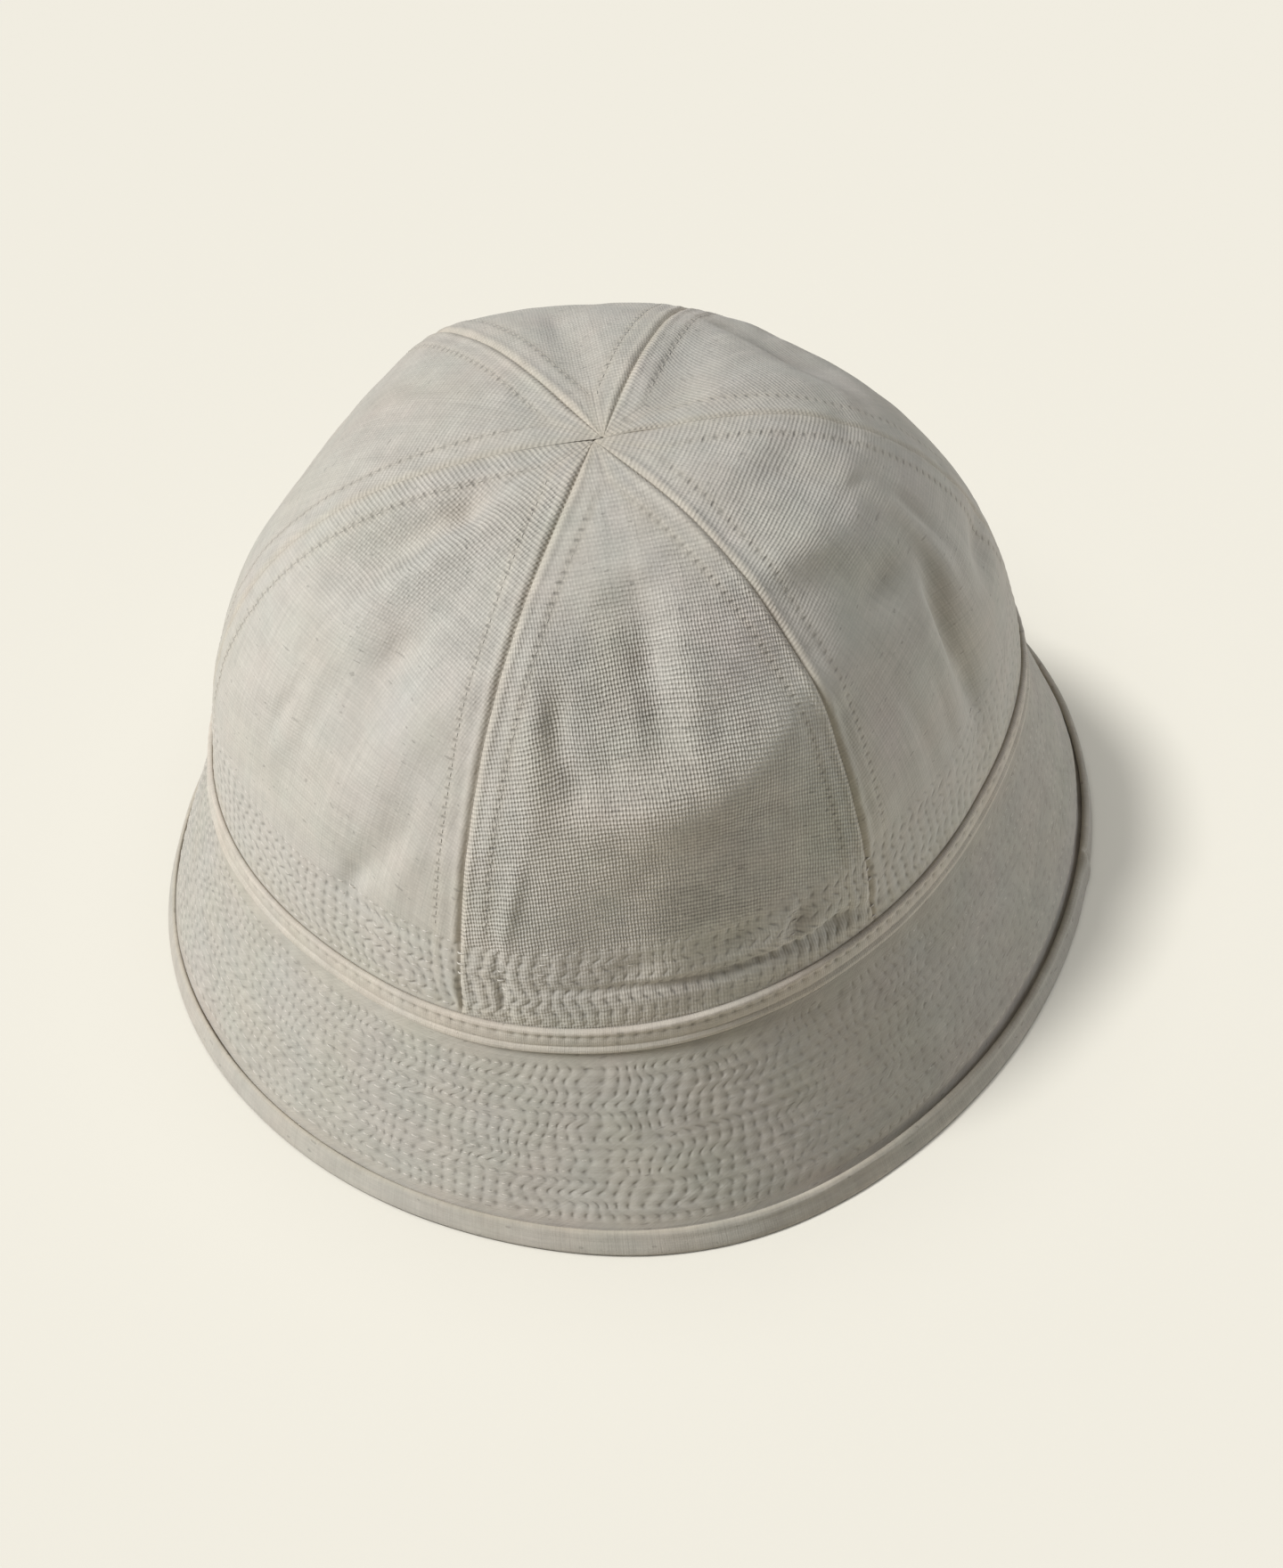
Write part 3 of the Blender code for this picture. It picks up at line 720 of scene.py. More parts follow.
class Shader:
    """A material's nodes, laid one after another."""

    def __init__(self, name):
        self.material = bpy.data.materials.new(name)
        self.material.use_nodes = True
        self.tree = self.material.node_tree
        self.surface = self.tree.nodes["Principled BSDF"]

    def node(self, kind, inputs=None, **settings):
        node = self.tree.nodes.new("ShaderNode" + kind)
        for setting, value in settings.items():
            setattr(node, setting, value)
        for socket, value in (inputs or {}).items():
            self.feed(node.inputs[socket], value)
        return node

    def feed(self, socket, value):
        if isinstance(value, bpy.types.NodeSocket):
            self.tree.links.new(value, socket)
        else:
            socket.default_value = value

    def maths(self, operation, *values):
        """The result of one maths node."""
        node = self.node("Math", operation=operation)
        for socket, value in zip(node.inputs, values):
            self.feed(socket, value)
        return node.outputs[0]

    def noise(self, coordinates, scale, detail=2.0, roughness=0.5):
        return self.node("TexNoise", {"Vector": coordinates, "Scale": scale, "Detail": detail,
                                      "Roughness": roughness}).outputs[0]

    def stretched(self, coordinates, across, up, seed):
        """Coordinates scaled differently across and up the cloth."""
        return self.node("Mapping", {"Vector": coordinates, "Scale": (across, up, 0.0),
                                     "Location": (seed, seed, seed)}).outputs[0]

    def attribute(self, title):
        return self.node("Attribute", attribute_name=title).outputs["Vector"]

    def split(self, vector):
        return self.node("SeparateXYZ", {"Vector": vector}).outputs

    def tinted(self, colour, cast):
        """A colour times another, channel by channel."""
        node = self.node("VectorMath", operation="MULTIPLY")
        self.feed(node.inputs[0], cast)
        self.feed(node.inputs[1], colour)
        return node.outputs[0]

    def scaled(self, colour, factor):
        node = self.node("VectorMath", operation="SCALE")
        self.feed(node.inputs[0], colour)
        self.feed(node.inputs["Scale"], factor)
        return node.outputs[0]

    def settle(self, values):
        """Set what is the same all over the surface."""
        for socket, value in values.items():
            self.surface.inputs[socket].default_value = value


# One thread's room across and along the cloth, in metres, how high the threads stand, and how dark the
# painted shade in the gaps between them is
Weave = namedtuple("Weave", "across up relief contrast")
CROWN_WEAVE = Weave(0.00072, 0.00100, 0.00031, 0.46)
CANVAS_COLOUR = (0.424, 0.396, 0.342)
PINK_SHIFT = 0.030          # how much redder a fully pink place is
WARM_SHIFT = 0.040          # how much less blue a fully warm place is
ROUGHNESS = 0.92
SPECULAR = 0.25
SHEEN = 0.10
SHEEN_ROUGHNESS = 0.5

# Random patterns in the cloth: swings for each metre, fine detail and its roughness
Grain = namedtuple("Grain", "scale detail roughness")
WANDER = Grain(260.0, 2.0, 0.5)
FUZZ = Grain(2600.0, 3.0, 0.5)
MOTTLE = Grain(75.0, 3.0, 0.6)
CLOUD = Grain(170.0, 4.0, 0.62)
MOTTLE_PINK = 3.0           # how far the mottling swings between pinker and less pink
THREAD_WANDER = 0.0006      # how far a thread wanders from its straight course
WARP_RISE = 0.5             # the upright threads' share in the weave
WEFT_RISE = 0.6
CROSSING_RISE = 0.12
NUB_LENGTHS = (0.45, 0.6)   # swings of the nubs for each thread, across and up
NUB_LEAST = 0.4             # how far a thread stands out at the least between its nubs
NUB_RANGE = 1.2             # and how much further on them
WEFT_SLUBS = 70.0           # swings for each metre along a thread, between thin and thick stretches
WARP_SLUBS = 60.0
SPECKS = (420.0, 900.0)     # swings for each metre across and up of the dark specks
SPECK_LEVEL = 0.80          # the higher, the rarer
SPECK_SHADE = 0.22
SLUB_SHADE = 0.22
FUZZ_SHADE = 0.14
CLOUD_SHADE = 0.20
CLOUD_SHADE_CLEAR = 0.28    # how much more of the clouding shows where the weave is clear
SLUB_RELIEF = 0.00006
FUZZ_RELIEF = 0.00003

STITCH_LENGTH = 0.0033
HOLE_RADIUS = 0.00050
HOLE_DEPTH = 0.00020
HOLE_LENGTHENED = 0.65      # how fast a hole fades across its row, beside along it
HOLE_EDGE = 0.37            # what is left of a hole at its radius
# the painted shade at the middle of a needle hole
HOLE_PAINTED_SHADE = 0.32
# The places in the random patterns where each one starts
NUB_SEED = 5.3
WEFT_SEED = 3.1
WARP_SEED = 7.7
SPECK_SEED = 1.3


def woven_threads(shader, weave, place, space):
    """The threads' height, over and under each other and nubby along their length; it sets their relief and
    the painted shade in the gaps between them.
    """
    maths = shader.maths
    across, up, warp_shown = shader.split(place)
    wander = maths("MULTIPLY", maths("SUBTRACT", shader.noise(space, *WANDER), 0.5), THREAD_WANDER)
    warp_wave = maths("SINE", maths("MULTIPLY", maths("ADD", across, wander), pi / weave.across))
    weft_wave = maths("SINE", maths("MULTIPLY", maths("ADD", up, wander), pi / weave.up))
    swings = []
    for wave, share in ((warp_wave, maths("MULTIPLY", warp_shown, WARP_RISE)), (weft_wave, WEFT_RISE)):
        arch = maths("ABSOLUTE", wave)
        swings.append(maths("MULTIPLY", maths("MULTIPLY_ADD", arch, arch, -0.5), share))
    crossing = maths("MULTIPLY", maths("MULTIPLY", warp_wave, weft_wave), CROSSING_RISE)
    threads = maths("ADD", maths("ADD", *swings), crossing)
    nub_place = shader.stretched(place, NUB_LENGTHS[0] / weave.across, NUB_LENGTHS[1] / weave.up, NUB_SEED)
    nubs = maths("MULTIPLY_ADD", shader.noise(nub_place, 1.0), NUB_RANGE, NUB_LEAST)
    return maths("MULTIPLY", threads, nubs)


def needle_holes(shader, row_spacing):
    """How much of a needle hole there is at each place, from its stitching attribute; it dents the cloth and
    paints shade in the hole.
    """
    maths = shader.maths
    phase, row, shown = shader.split(shader.attribute("stitching"))
    along_row = maths("MULTIPLY", maths("PINGPONG", phase, 0.5), STITCH_LENGTH / HOLE_RADIUS)
    off_row = maths("MULTIPLY", maths("PINGPONG", row, 0.5), row_spacing / HOLE_RADIUS)
    off_row = maths("MULTIPLY", off_row, HOLE_LENGTHENED)
    away = maths("ADD", maths("POWER", along_row, 2.0), maths("POWER", off_row, 2.0))
    return maths("MULTIPLY", maths("POWER", HOLE_EDGE, away), shown)


def canvas_material(name, colour, weave, row_spacing, hole_painted_shade=HOLE_PAINTED_SHADE):
    """Plain-weave canvas: threads over and under with painted shade in their gaps, thick and thin places,
    dark specks, and needle holes that dent the cloth and have painted shade in them.
    """
    shader = Shader(name)
    maths = shader.maths
    place = shader.attribute("weave")
    space = shader.node("TexCoord").outputs["Object"]
    clear, pinkness, warmth = shader.split(shader.attribute("finish"))
    threads = woven_threads(shader, weave, place, space)
    slubs = maths("ADD", shader.noise(shader.stretched(place, WEFT_SLUBS, 1.0 / weave.up, WEFT_SEED), 1.0),
                  shader.noise(shader.stretched(place, 1.0 / weave.across, WARP_SLUBS, WARP_SEED), 1.0))
    fuzz = shader.noise(space, *FUZZ)
    cloud = maths("SUBTRACT", shader.noise(space, *CLOUD), 0.5)
    speck_noise = shader.noise(shader.stretched(place, *SPECKS, SPECK_SEED), 1.0, detail=0.0)
    speck = maths("GREATER_THAN", speck_noise, SPECK_LEVEL)
    hole = needle_holes(shader, row_spacing)

    mottle = maths("MULTIPLY_ADD", shader.noise(space, *MOTTLE), MOTTLE_PINK, -MOTTLE_PINK / 2)
    red = maths("MULTIPLY_ADD", maths("ADD", pinkness, mottle), PINK_SHIFT, 1.0)
    blue = maths("MULTIPLY_ADD", warmth, -WARM_SHIFT, 1.0)
    cast = shader.node("CombineXYZ", {"X": red, "Y": 1.0, "Z": blue}).outputs[0]

    # Each pattern shades the cloth by its depth, about a level that leaves the cloth's colour on the whole
    # The threads' gaps and the needle holes darken the colour as painted shade; slubs, fuzz, clouding and
    # specks are the cloth's own tone.
    tone_and_painted_shade = maths("MULTIPLY_ADD", threads, maths("MULTIPLY", clear, weave.contrast), 1.0)
    for pattern, depth, level in (
        (slubs, SLUB_SHADE, 1.0 - SLUB_SHADE),
        (fuzz, FUZZ_SHADE, 1.0 - FUZZ_SHADE / 2),
        (cloud, maths("MULTIPLY_ADD", clear, CLOUD_SHADE_CLEAR, CLOUD_SHADE), 1.0),
        (speck, -SPECK_SHADE, 1.0),
        (hole, -hole_painted_shade, 1.0),
    ):
        tone_and_painted_shade = maths("MULTIPLY", tone_and_painted_shade, maths("MULTIPLY_ADD", pattern, depth, level))

    height = maths("MULTIPLY", maths("MULTIPLY", threads, clear), weave.relief)
    for pattern, depth in ((slubs, SLUB_RELIEF), (fuzz, FUZZ_RELIEF), (hole, -HOLE_DEPTH)):
        height = maths("MULTIPLY_ADD", pattern, depth, height)
    bump = shader.node("Bump", {"Height": height, "Strength": 1.0, "Distance": 1.0})

    shader.feed(shader.surface.inputs["Base Color"], shader.scaled(shader.tinted(colour, cast), tone_and_painted_shade))
    shader.feed(shader.surface.inputs["Normal"], bump.outputs[0])
    shader.settle({"Roughness": ROUGHNESS, "Specular IOR Level": SPECULAR, "Sheen Weight": SHEEN,
                   "Sheen Roughness": SHEEN_ROUGHNESS})
    return shader.material


canvas = canvas_material("canvas", CANVAS_COLOUR, CROWN_WEAVE, FOOT_QUILTING.spacing)
for gore in GORES:
    make_gore(gore, canvas)


# ------------------------------------------------------------------------------------------------
# The crown's stitches: a row of topstitching on each side of every seam, which holds the allowance
# down, and the close rows round the foot. Cotton thread, sunk into the cloth at each needle hole.
# ------------------------------------------------------------------------------------------------

SEAM_THREAD = 0.00013       # radius of the topstitching's thread
FOOT_THREAD = 0.00022
THREAD_SIDES = 4
# The thread on the foot, tape and brim is lighter than the cloth, partly a painted highlight for the light it
# catches; the same thread in the topstitching is darker, painted shade on its stitches.
THREAD_COLOUR_AND_PAINTED_HIGHLIGHT = (0.500, 0.462, 0.398)
SEAM_THREAD_COLOUR_AND_PAINTED_SHADE = (0.400, 0.372, 0.320)
THREAD_ROUGHNESS = 0.75
THREAD_SPECULAR = 0.4
THREAD_SHEEN = 0.2
SEARCH_STEPS = 6            # in which a needle hole's azimuth is found closely enough
TWIST = 3000.0              # swings for each metre between the thread's lighter and darker turns
TWIST_SHADE = 0.25
TWIST_LEVEL = 0.87
TONE = 120.0                # and between its lighter and darker stretches
TONE_SHADE = 0.30
# The way along a stitch: share of its length, rise in thread radii, and share of its full thickness
StitchBend = namedtuple("StitchBend", "share rise thickness")
STITCH_BENDS = (
    StitchBend(0.20, -1.3, 0.7),
    StitchBend(0.34, 0.35, 1.0),
    StitchBend(0.66, 0.35, 1.0),
    StitchBend(0.80, -1.3, 0.7),
)
TIGHT_SINK = 0.90           # how many thread radii deeper the tight stitches lie, in front and to the right
# A stretch of the way round the cap: where something starts, is full, fades again and ends
Stretch = namedtuple("Stretch", "start full fading end")
TIGHT_STRETCH = Stretch(-130.0, -90.0, 20.0, 50.0)


def along_stretch(azimuth, stretch):
    """1 along a stretch round the cap and 0 outside it."""
    turned = turned_apart(azimuth, 0.0)
    return ease(turned, stretch.start, stretch.full) * ease(turned, stretch.end, stretch.fading)


def make_stitches(name, rows, radius, material):
    """Short bent threads between the needle holes of each row, on cloth that faces outward there."""
    starts = np.concatenate([holes[:-1] for holes, outward in rows])
    ends = np.concatenate([holes[1:] for holes, outward in rows])
    outward = np.concatenate([outward[:-1] for holes, outward in rows])
    sideways = np.cross(outward, unit(ends - starts))
    azimuth = np.degrees(np.arctan2(starts[:, 1], starts[:, 0]))
    sink = TIGHT_SINK * along_stretch(azimuth, TIGHT_STRETCH)
    rings = []
    for bend in STITCH_BENDS:
        middle = starts + (ends - starts) * bend.share + outward * (bend.rise - sink)[:, None] * radius
        for side in range(THREAD_SIDES):
            angle = 2.0 * pi * (side + 0.5) / THREAD_SIDES
            spoke = sideways * cos(angle) + outward * sin(angle)
            rings.append(middle + spoke * radius * bend.thickness)
    points = np.stack(rings, axis=1)
    per_stitch = len(rings)
    pattern = []
    for ring in range(len(STITCH_BENDS) - 1):
        for side in range(THREAD_SIDES):
            near = ring * THREAD_SIDES + side
            far = ring * THREAD_SIDES + (side + 1) % THREAD_SIDES
            pattern.append((near, far, far + THREAD_SIDES, near + THREAD_SIDES))
    pattern.append(tuple(range(THREAD_SIDES))[::-1])
    pattern.append(tuple(range(per_stitch - THREAD_SIDES, per_stitch)))
    first = np.arange(len(starts))[:, None, None] * per_stitch
    faces = (np.array(pattern)[None, :, :] + first).reshape(-1, 4).tolist()
    piece = make_piece(name, points.reshape(-1, 3), faces, {}, len(faces))
    piece.data.materials.append(material)
    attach(piece, "root")
    return piece


def thread_material(name, colour):
    """Twisted cotton thread, a little smoother than the cloth."""
    shader = Shader(name)
    maths = shader.maths
    space = shader.node("TexCoord").outputs["Object"]
    twist = maths("MULTIPLY_ADD", shader.noise(space, TWIST), TWIST_SHADE, TWIST_LEVEL)
    tone = maths("MULTIPLY_ADD", shader.noise(space, TONE), TONE_SHADE, 1.0 - TONE_SHADE / 2)
    shader.feed(shader.surface.inputs["Base Color"], shader.scaled(colour, maths("MULTIPLY", twist, tone)))
    shader.settle({"Roughness": THREAD_ROUGHNESS, "Specular IOR Level": THREAD_SPECULAR,
                   "Sheen Weight": THREAD_SHEEN})
    return shader.material


def row_ends(phase_at, count):
    """Azimuths of the needle holes along a row, found where its phase is a whole number."""
    whole = np.arange(count + 1.0)
    azimuth = whole * 360.0 / count
    for _ in range(SEARCH_STEPS):
        azimuth = azimuth + (whole - phase_at(azimuth)) * 360.0 / count
    return azimuth


def quilting_rows(quilting, surface_at):
    """Needle holes and outward directions along each row of quilted cloth."""
    rows = []
    for row in range(quilting.rows):
        slant = np.full(quilting.stitches + 1, quilting.first + row * quilting.spacing)
        azimuth = row_ends(lambda place: stitch_phase(quilting, place, slant), quilting.stitches)
        drift = stitch_row(quilting, azimuth, slant) - row
        rows.append(surface_at(azimuth, slant - drift * quilting.spacing))
    return rows


def crown_at(azimuth, slant):
    """Points on the finished crown and outward directions at single places, whichever gore they lie on."""
    points = np.zeros((len(azimuth), 3))
    outward = np.zeros((len(azimuth), 3))
    for gore in GORES:
        turned = gore.left + (azimuth - gore.left) % 360.0
        here = turned < gore.right
        if here.any():
            points[here], outward[here], _ = crown_surface(gore, turned[here], slant[here] / CROWN_SLANT)
    return points, outward


def seam_rows():
    """Needle holes and outward directions along the topstitching on both sides of every seam."""
    rows = []
    for gore in GORES:
        for side in (LEFT, RIGHT):
            first = np.ceil(SEAM_ROW_FOOT / SEAM_STITCH + SEAM_LAG * side)
            slant = (first + np.arange(CROWN_SLANT // SEAM_STITCH) - SEAM_LAG * side) * SEAM_STITCH
            height = slant[slant < SEAM_ROW_TOP * CROWN_SLANT] / CROWN_SLANT
            edge = gore.left if side == LEFT else gore.right
            radius = plan_radius(np.full_like(height, edge), height)
            turn = np.degrees(np.arcsin(topstitch_offset(gore, radius) / radius))
            azimuth = gore.left + turn if side == LEFT else gore.right - turn
            rows.append(crown_surface(gore, azimuth, height)[:2])
    return rows


cotton_thread_painted_highlight = thread_material("cotton_thread_painted_highlight", THREAD_COLOUR_AND_PAINTED_HIGHLIGHT)
seam_thread_painted_shade = thread_material("seam_thread_painted_shade", SEAM_THREAD_COLOUR_AND_PAINTED_SHADE)
make_stitches("stitches_foot", quilting_rows(FOOT_QUILTING, crown_at), FOOT_THREAD, cotton_thread_painted_highlight)
make_stitches("stitches_seams", seam_rows(), SEAM_THREAD, seam_thread_painted_shade)


# ------------------------------------------------------------------------------------------------
# The tape: a folded strip of smoother, warmer cotton that covers the crown's cut foot. One row of
# stitches holds it under its upper fold, and its lower fold stands out as a lip over the brim.
# ------------------------------------------------------------------------------------------------

TAPE_STEPS = 960
TAPE_STITCHES = 176
TAPE_ROW = 0.0047           # up from the joint to the tape's row of stitches
TAPE_ROW_OUT = 0.00098      # and out from the crown
TAPE_WEAVE = Weave(0.00050, 0.00055, 0.00006, 0.10)
TAPE_COLOUR = (0.455, 0.414, 0.346)
TAPE_CLEAR = 0.8            # how clearly its weave stands out
TAPE_EDGE = 0.0062          # up to the fold, which has grown pinker
TAPE_EDGE_WIDTH = 0.0006
TAPE_EDGE_PINK = 0.6
TAPE_DRIFT = Waver(44, 70, 0.02, 1.0)
TAPE_DRIFT_TINT = Tint(0.5, 0.4)
# how strongly its needle holes show, as dents and as painted shade in them
TAPE_HOLES = 0.7
TAPE_HOLES_WIDTH = 0.0009
TAPE_LAG = Waver(41, 50, 2.0 * TAPE_ROW, 0.4)
TAPE_SWAY = Waver(42, 46, 0.006, 0.00010)
LIP_WAVE = Waver(43, 90, 0.01, 0.00008)
LIP_FADE = (0.0035, 0.0005)
TAPE_RIPPLE = 0.00009       # half the height of the ripples along the stitches
TAPE_RIPPLE_WIDTH = 0.0014
# A folded strip's section: up the crown and out from it on the tape, up from the table and out from the
# brim's outer face on the hem
Corner = namedtuple("Corner", "up out")
TAPE_SECTION = (
    Corner(-0.0003, 0.00040), Corner(-0.0005, 0.00095), Corner(-0.0003, 0.00145),
    Corner(0.0001, 0.00166), Corner(0.0006, 0.00172), Corner(0.0011, 0.00155),
    Corner(0.0014, 0.00122), Corner(0.0016, 0.00102), Corner(0.0018, 0.00100),
    Corner(0.0020, 0.00112), Corner(0.0026, 0.00122), Corner(0.0033, 0.00126),
    Corner(0.0040, 0.00120), Corner(0.0044, 0.00108), Corner(0.0047, 0.00100),
    Corner(0.0050, 0.00108), Corner(0.0054, 0.00132), Corner(0.0059, 0.00142),
    Corner(0.0063, 0.00122), Corner(0.0066, 0.00066), Corner(0.0066, -0.00005),
    Corner(0.0048, 0.00032), Corner(0.0026, 0.00032), Corner(0.0005, 0.00032),
)
TAPE_OUTSIDE = 0.0006       # how far out its outer face begins


def tape_phase(azimuth):
    return azimuth / 360.0 * TAPE_STITCHES + wavering(TAPE_LAG, azimuth, TAPE_ROW)


def tape_surface(azimuth, up, out):
    """Points on the tape, gently rippled along its row of stitches, and the outward directions there."""
    above = np.maximum(up, 0.0)
    below = stack_points(0.0, 0.0, np.minimum(up, 0.0))
    face = crown_face(azimuth, above / CROWN_SLANT, FRONT) + below - PLAN_MIDDLE
    outward = crown_outward(azimuth, above / CROWN_SLANT, FRONT)
    ripple = -TAPE_RIPPLE * np.cos(2.0 * pi * tape_phase(azimuth)) * bump_at(up, TAPE_ROW, TAPE_RIPPLE_WIDTH)
    lip = wavering(LIP_WAVE, azimuth, up) * ease(up, *LIP_FADE)
    lift = out + np.where(out > TAPE_OUTSIDE, ripple + wavering(TAPE_SWAY, azimuth, up) + lip, 0.0)
    return face + outward * lift[..., None], outward


def section_grid(steps, section):
    """A folded strip's azimuths, ups and outs: its rows run round the cap, its columns round its section."""
    azimuth, corner = np.meshgrid(np.arange(steps) * 360.0 / steps, np.arange(len(section)), indexing="ij")
    ups = np.array([place.up for place in section])
    outs = np.array([place.out for place in section])
    return azimuth, ups[corner], outs[corner]


def make_ring(name, rows, attributes, material, node):
    """A closed strip swept round the cap; rows run round it, and each column is one place on its section."""
    steps, corners = rows.shape[:2]
    step = np.arange(steps)[:, None]
    corner = np.arange(corners)[None, :]
    next_step = (step + 1) % steps
    next_corner = (corner + 1) % corners
    faces = np.stack(np.broadcast_arrays(
        step * corners + corner, next_step * corners + corner,
        next_step * corners + next_corner, step * corners + next_corner), axis=-1).reshape(-1, 4).tolist()
    values = {title: value.reshape(-1, 3) for title, value in attributes.items()}
    piece = make_piece(name, rows.reshape(-1, 3), faces, values, len(faces))
    piece.data.materials.append(material)
    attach(piece, "root")
    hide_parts(node)
    return piece


tape_azimuth, tape_up, tape_out = section_grid(TAPE_STEPS, TAPE_SECTION)
tape_points, _ = tape_surface(tape_azimuth, tape_up, tape_out)
tape_holes = bump_at(tape_up, TAPE_ROW, TAPE_HOLES_WIDTH) * np.where(tape_out > TAPE_OUTSIDE, TAPE_HOLES, 0.0)
tape_row = (tape_up - TAPE_ROW) / FOOT_QUILTING.spacing
tape_drift = wavering(TAPE_DRIFT, tape_azimuth, tape_up)
tape_pink = TAPE_DRIFT_TINT.pink * tape_drift + TAPE_EDGE_PINK * bump_at(tape_up, TAPE_EDGE, TAPE_EDGE_WIDTH)
tape_attributes = {
    "weave": stack_points(np.radians(tape_azimuth) * HEAD_OVAL.long, tape_up, 1.0),
    "stitching": stack_points(tape_phase(tape_azimuth), tape_row, tape_holes),
    "finish": stack_points(TAPE_CLEAR, tape_pink, TAPE_DRIFT_TINT.warm * tape_drift),
}
tape_cloth = canvas_material("tape_cloth", TAPE_COLOUR, TAPE_WEAVE, FOOT_QUILTING.spacing)
make_ring("folded_tape", tape_points, tape_attributes, tape_cloth, "seam_tape")

hole_azimuth = row_ends(tape_phase, TAPE_STITCHES)
hole_up = np.full_like(hole_azimuth, TAPE_ROW)
tape_row_holes = tape_surface(hole_azimuth, hole_up, np.full_like(hole_azimuth, TAPE_ROW_OUT))
make_stitches("stitches_tape", [tape_row_holes], SEAM_THREAD, cotton_thread_painted_highlight)


# ------------------------------------------------------------------------------------------------
# The brim: two layers of the same canvas, turned down all round and stitched together in close rings.
# The thread draws the cloth into short wavering ripples; a plain border is left above the hem.
# ------------------------------------------------------------------------------------------------

BRIM_WALL = 0.0022
BRIM_SLANT = 0.0605         # down the cloth, from the joint to the table
BRIM_TOP = 0.0005           # down to the brim's upper edge
BRIM_END = 0.960            # the share of the way down at which it ends, inside the hem
BRIM_STEPS = 1080
BRIM_ROW_STEPS = 84
BRIM_THREAD = 0.00018
BRIM_WEAVE = Weave(0.00071, 0.00080, 0.00003, 0.04)
# Darker than the crown's canvas, though cut from the same cloth: painted shade.
BRIM_COLOUR_AND_PAINTED_SHADE = (0.381, 0.354, 0.303)
BRIM_CLEAR = 0.8
# the painted shade in the brim's needle holes
BRIM_HOLE_PAINTED_SHADE = 0.24
BRIM_FLARE = 0.020          # how much longer the cloth's half width is at the hem, for its weave
BRIM_QUILTING = Quilting(
    first=0.0062, spacing=0.0033, rows=14, stitches=200,
    sag=0.00014, sag_width=0.0009, ripple=0.00011, flattened=0.45, puff=0.00010,
    lag=Waver(51, 60, 0.0033, 0.85), drift=Waver(52, 44, 0.004, 0.12),
    strength=0.85, uneven=Waver(53, 22, 0.016, 0.45),
)
LAST_RING = BRIM_QUILTING.first + (BRIM_QUILTING.rows - 1) * BRIM_QUILTING.spacing
# The slants between which the ripples begin and grow whole, and between which they end and are still whole
RINGS_START = (BRIM_QUILTING.first - 0.003, BRIM_QUILTING.first)
RINGS_END = (LAST_RING + 0.0028, LAST_RING + 0.0006)
BRIM_SWAY = Waver(54, 26, 0.020, 0.00035)
BRIM_RUMPLE = Waver(55, 110, 0.006, 0.00010)
# Towards the right the ripples are calmer, and the cloth dips in further above the hem
CALM_STRETCH = Stretch(-92.0, -44.0, 10.0, 25.0)
CALM_RIPPLES_LOST = 0.75
# how much less the brim's needle holes show there, as dents and as painted shade
CALM_HOLES_LOST = 0.6
LEFT_SIDE = -180.0          # where a smaller share of the ripples is lost
LEFT_RIPPLES_LOST = 0.6
LEFT_WIDTH = 48.0
HEM_DIP = 0.0515            # down to where the cloth dips in above the hem
HEM_DIP_WIDTH = 0.0018
HEM_DIP_DEPTH = 0.00015
HEM_DIP_CALM = 0.00105
BRIM_PINK = Waver(56, 60, 0.012, 0.5)
BRIM_WARM = Waver(57, 60, 0.012, 0.5)
BRIM_LESS_PINK = 0.2
BORDER_TINT = Tint(0.8, 0.3)        # of the plain border, which starts and is whole at these slants
BORDER_FADE = (0.0470, 0.0510)
UNDER_TAPE_TINT = Tint(0.3, 0.5)    # of the cloth below the tape
UNDER_TAPE_FADE = (0.0120, 0.0040)


def brim_relief(azimuth, slant):
    """How far the quilted cloth stands out of the brim's smooth face, and its stitching attribute."""
    shown = ease(slant, *RINGS_START) * ease(slant, *RINGS_END)
    calm = along_stretch(azimuth, CALM_STRETCH)
    at_left = bump_at(turned_apart(azimuth, LEFT_SIDE), 0.0, LEFT_WIDTH)
    out, phase, row = quilted_relief(BRIM_QUILTING, azimuth, slant, 1.0)
    out = out * shown * (1.0 - CALM_RIPPLES_LOST * calm) * (1.0 - LEFT_RIPPLES_LOST * at_left)
    out = out + wavering(BRIM_SWAY, azimuth, slant) + wavering(BRIM_RUMPLE, azimuth, slant)
    out = out - (HEM_DIP_DEPTH + HEM_DIP_CALM * calm) * bump_at(slant, HEM_DIP, HEM_DIP_WIDTH)
    return out, stack_points(phase, row, shown * (1.0 - CALM_HOLES_LOST * calm))


def brim_surface(azimuth, slant):
    """Points on the quilted brim and the outward directions there."""
    out, stitching = brim_relief(azimuth, slant)
    down = slant / BRIM_SLANT
    flat = brim_face(azimuth, down, 0.0)
    outward = unit(brim_face(azimuth, down, 0.01) - flat)
    return flat + outward * out[..., None] - PLAN_MIDDLE, outward, stitching


def brim_finish(azimuth, slant):
    """How clear the weave is down the brim, and how its colour drifts; the plain border is pinker."""
    border = ease(slant, *BORDER_FADE)
    by_tape = ease(slant, *UNDER_TAPE_FADE)
    pink = wavering(BRIM_PINK, azimuth, slant) + BORDER_TINT.pink * border + UNDER_TAPE_TINT.pink * by_tape
    warm = wavering(BRIM_WARM, azimuth, slant) + BORDER_TINT.warm * border + UNDER_TAPE_TINT.warm * by_tape
    return stack_points(BRIM_CLEAR, pink - BRIM_LESS_PINK, warm)


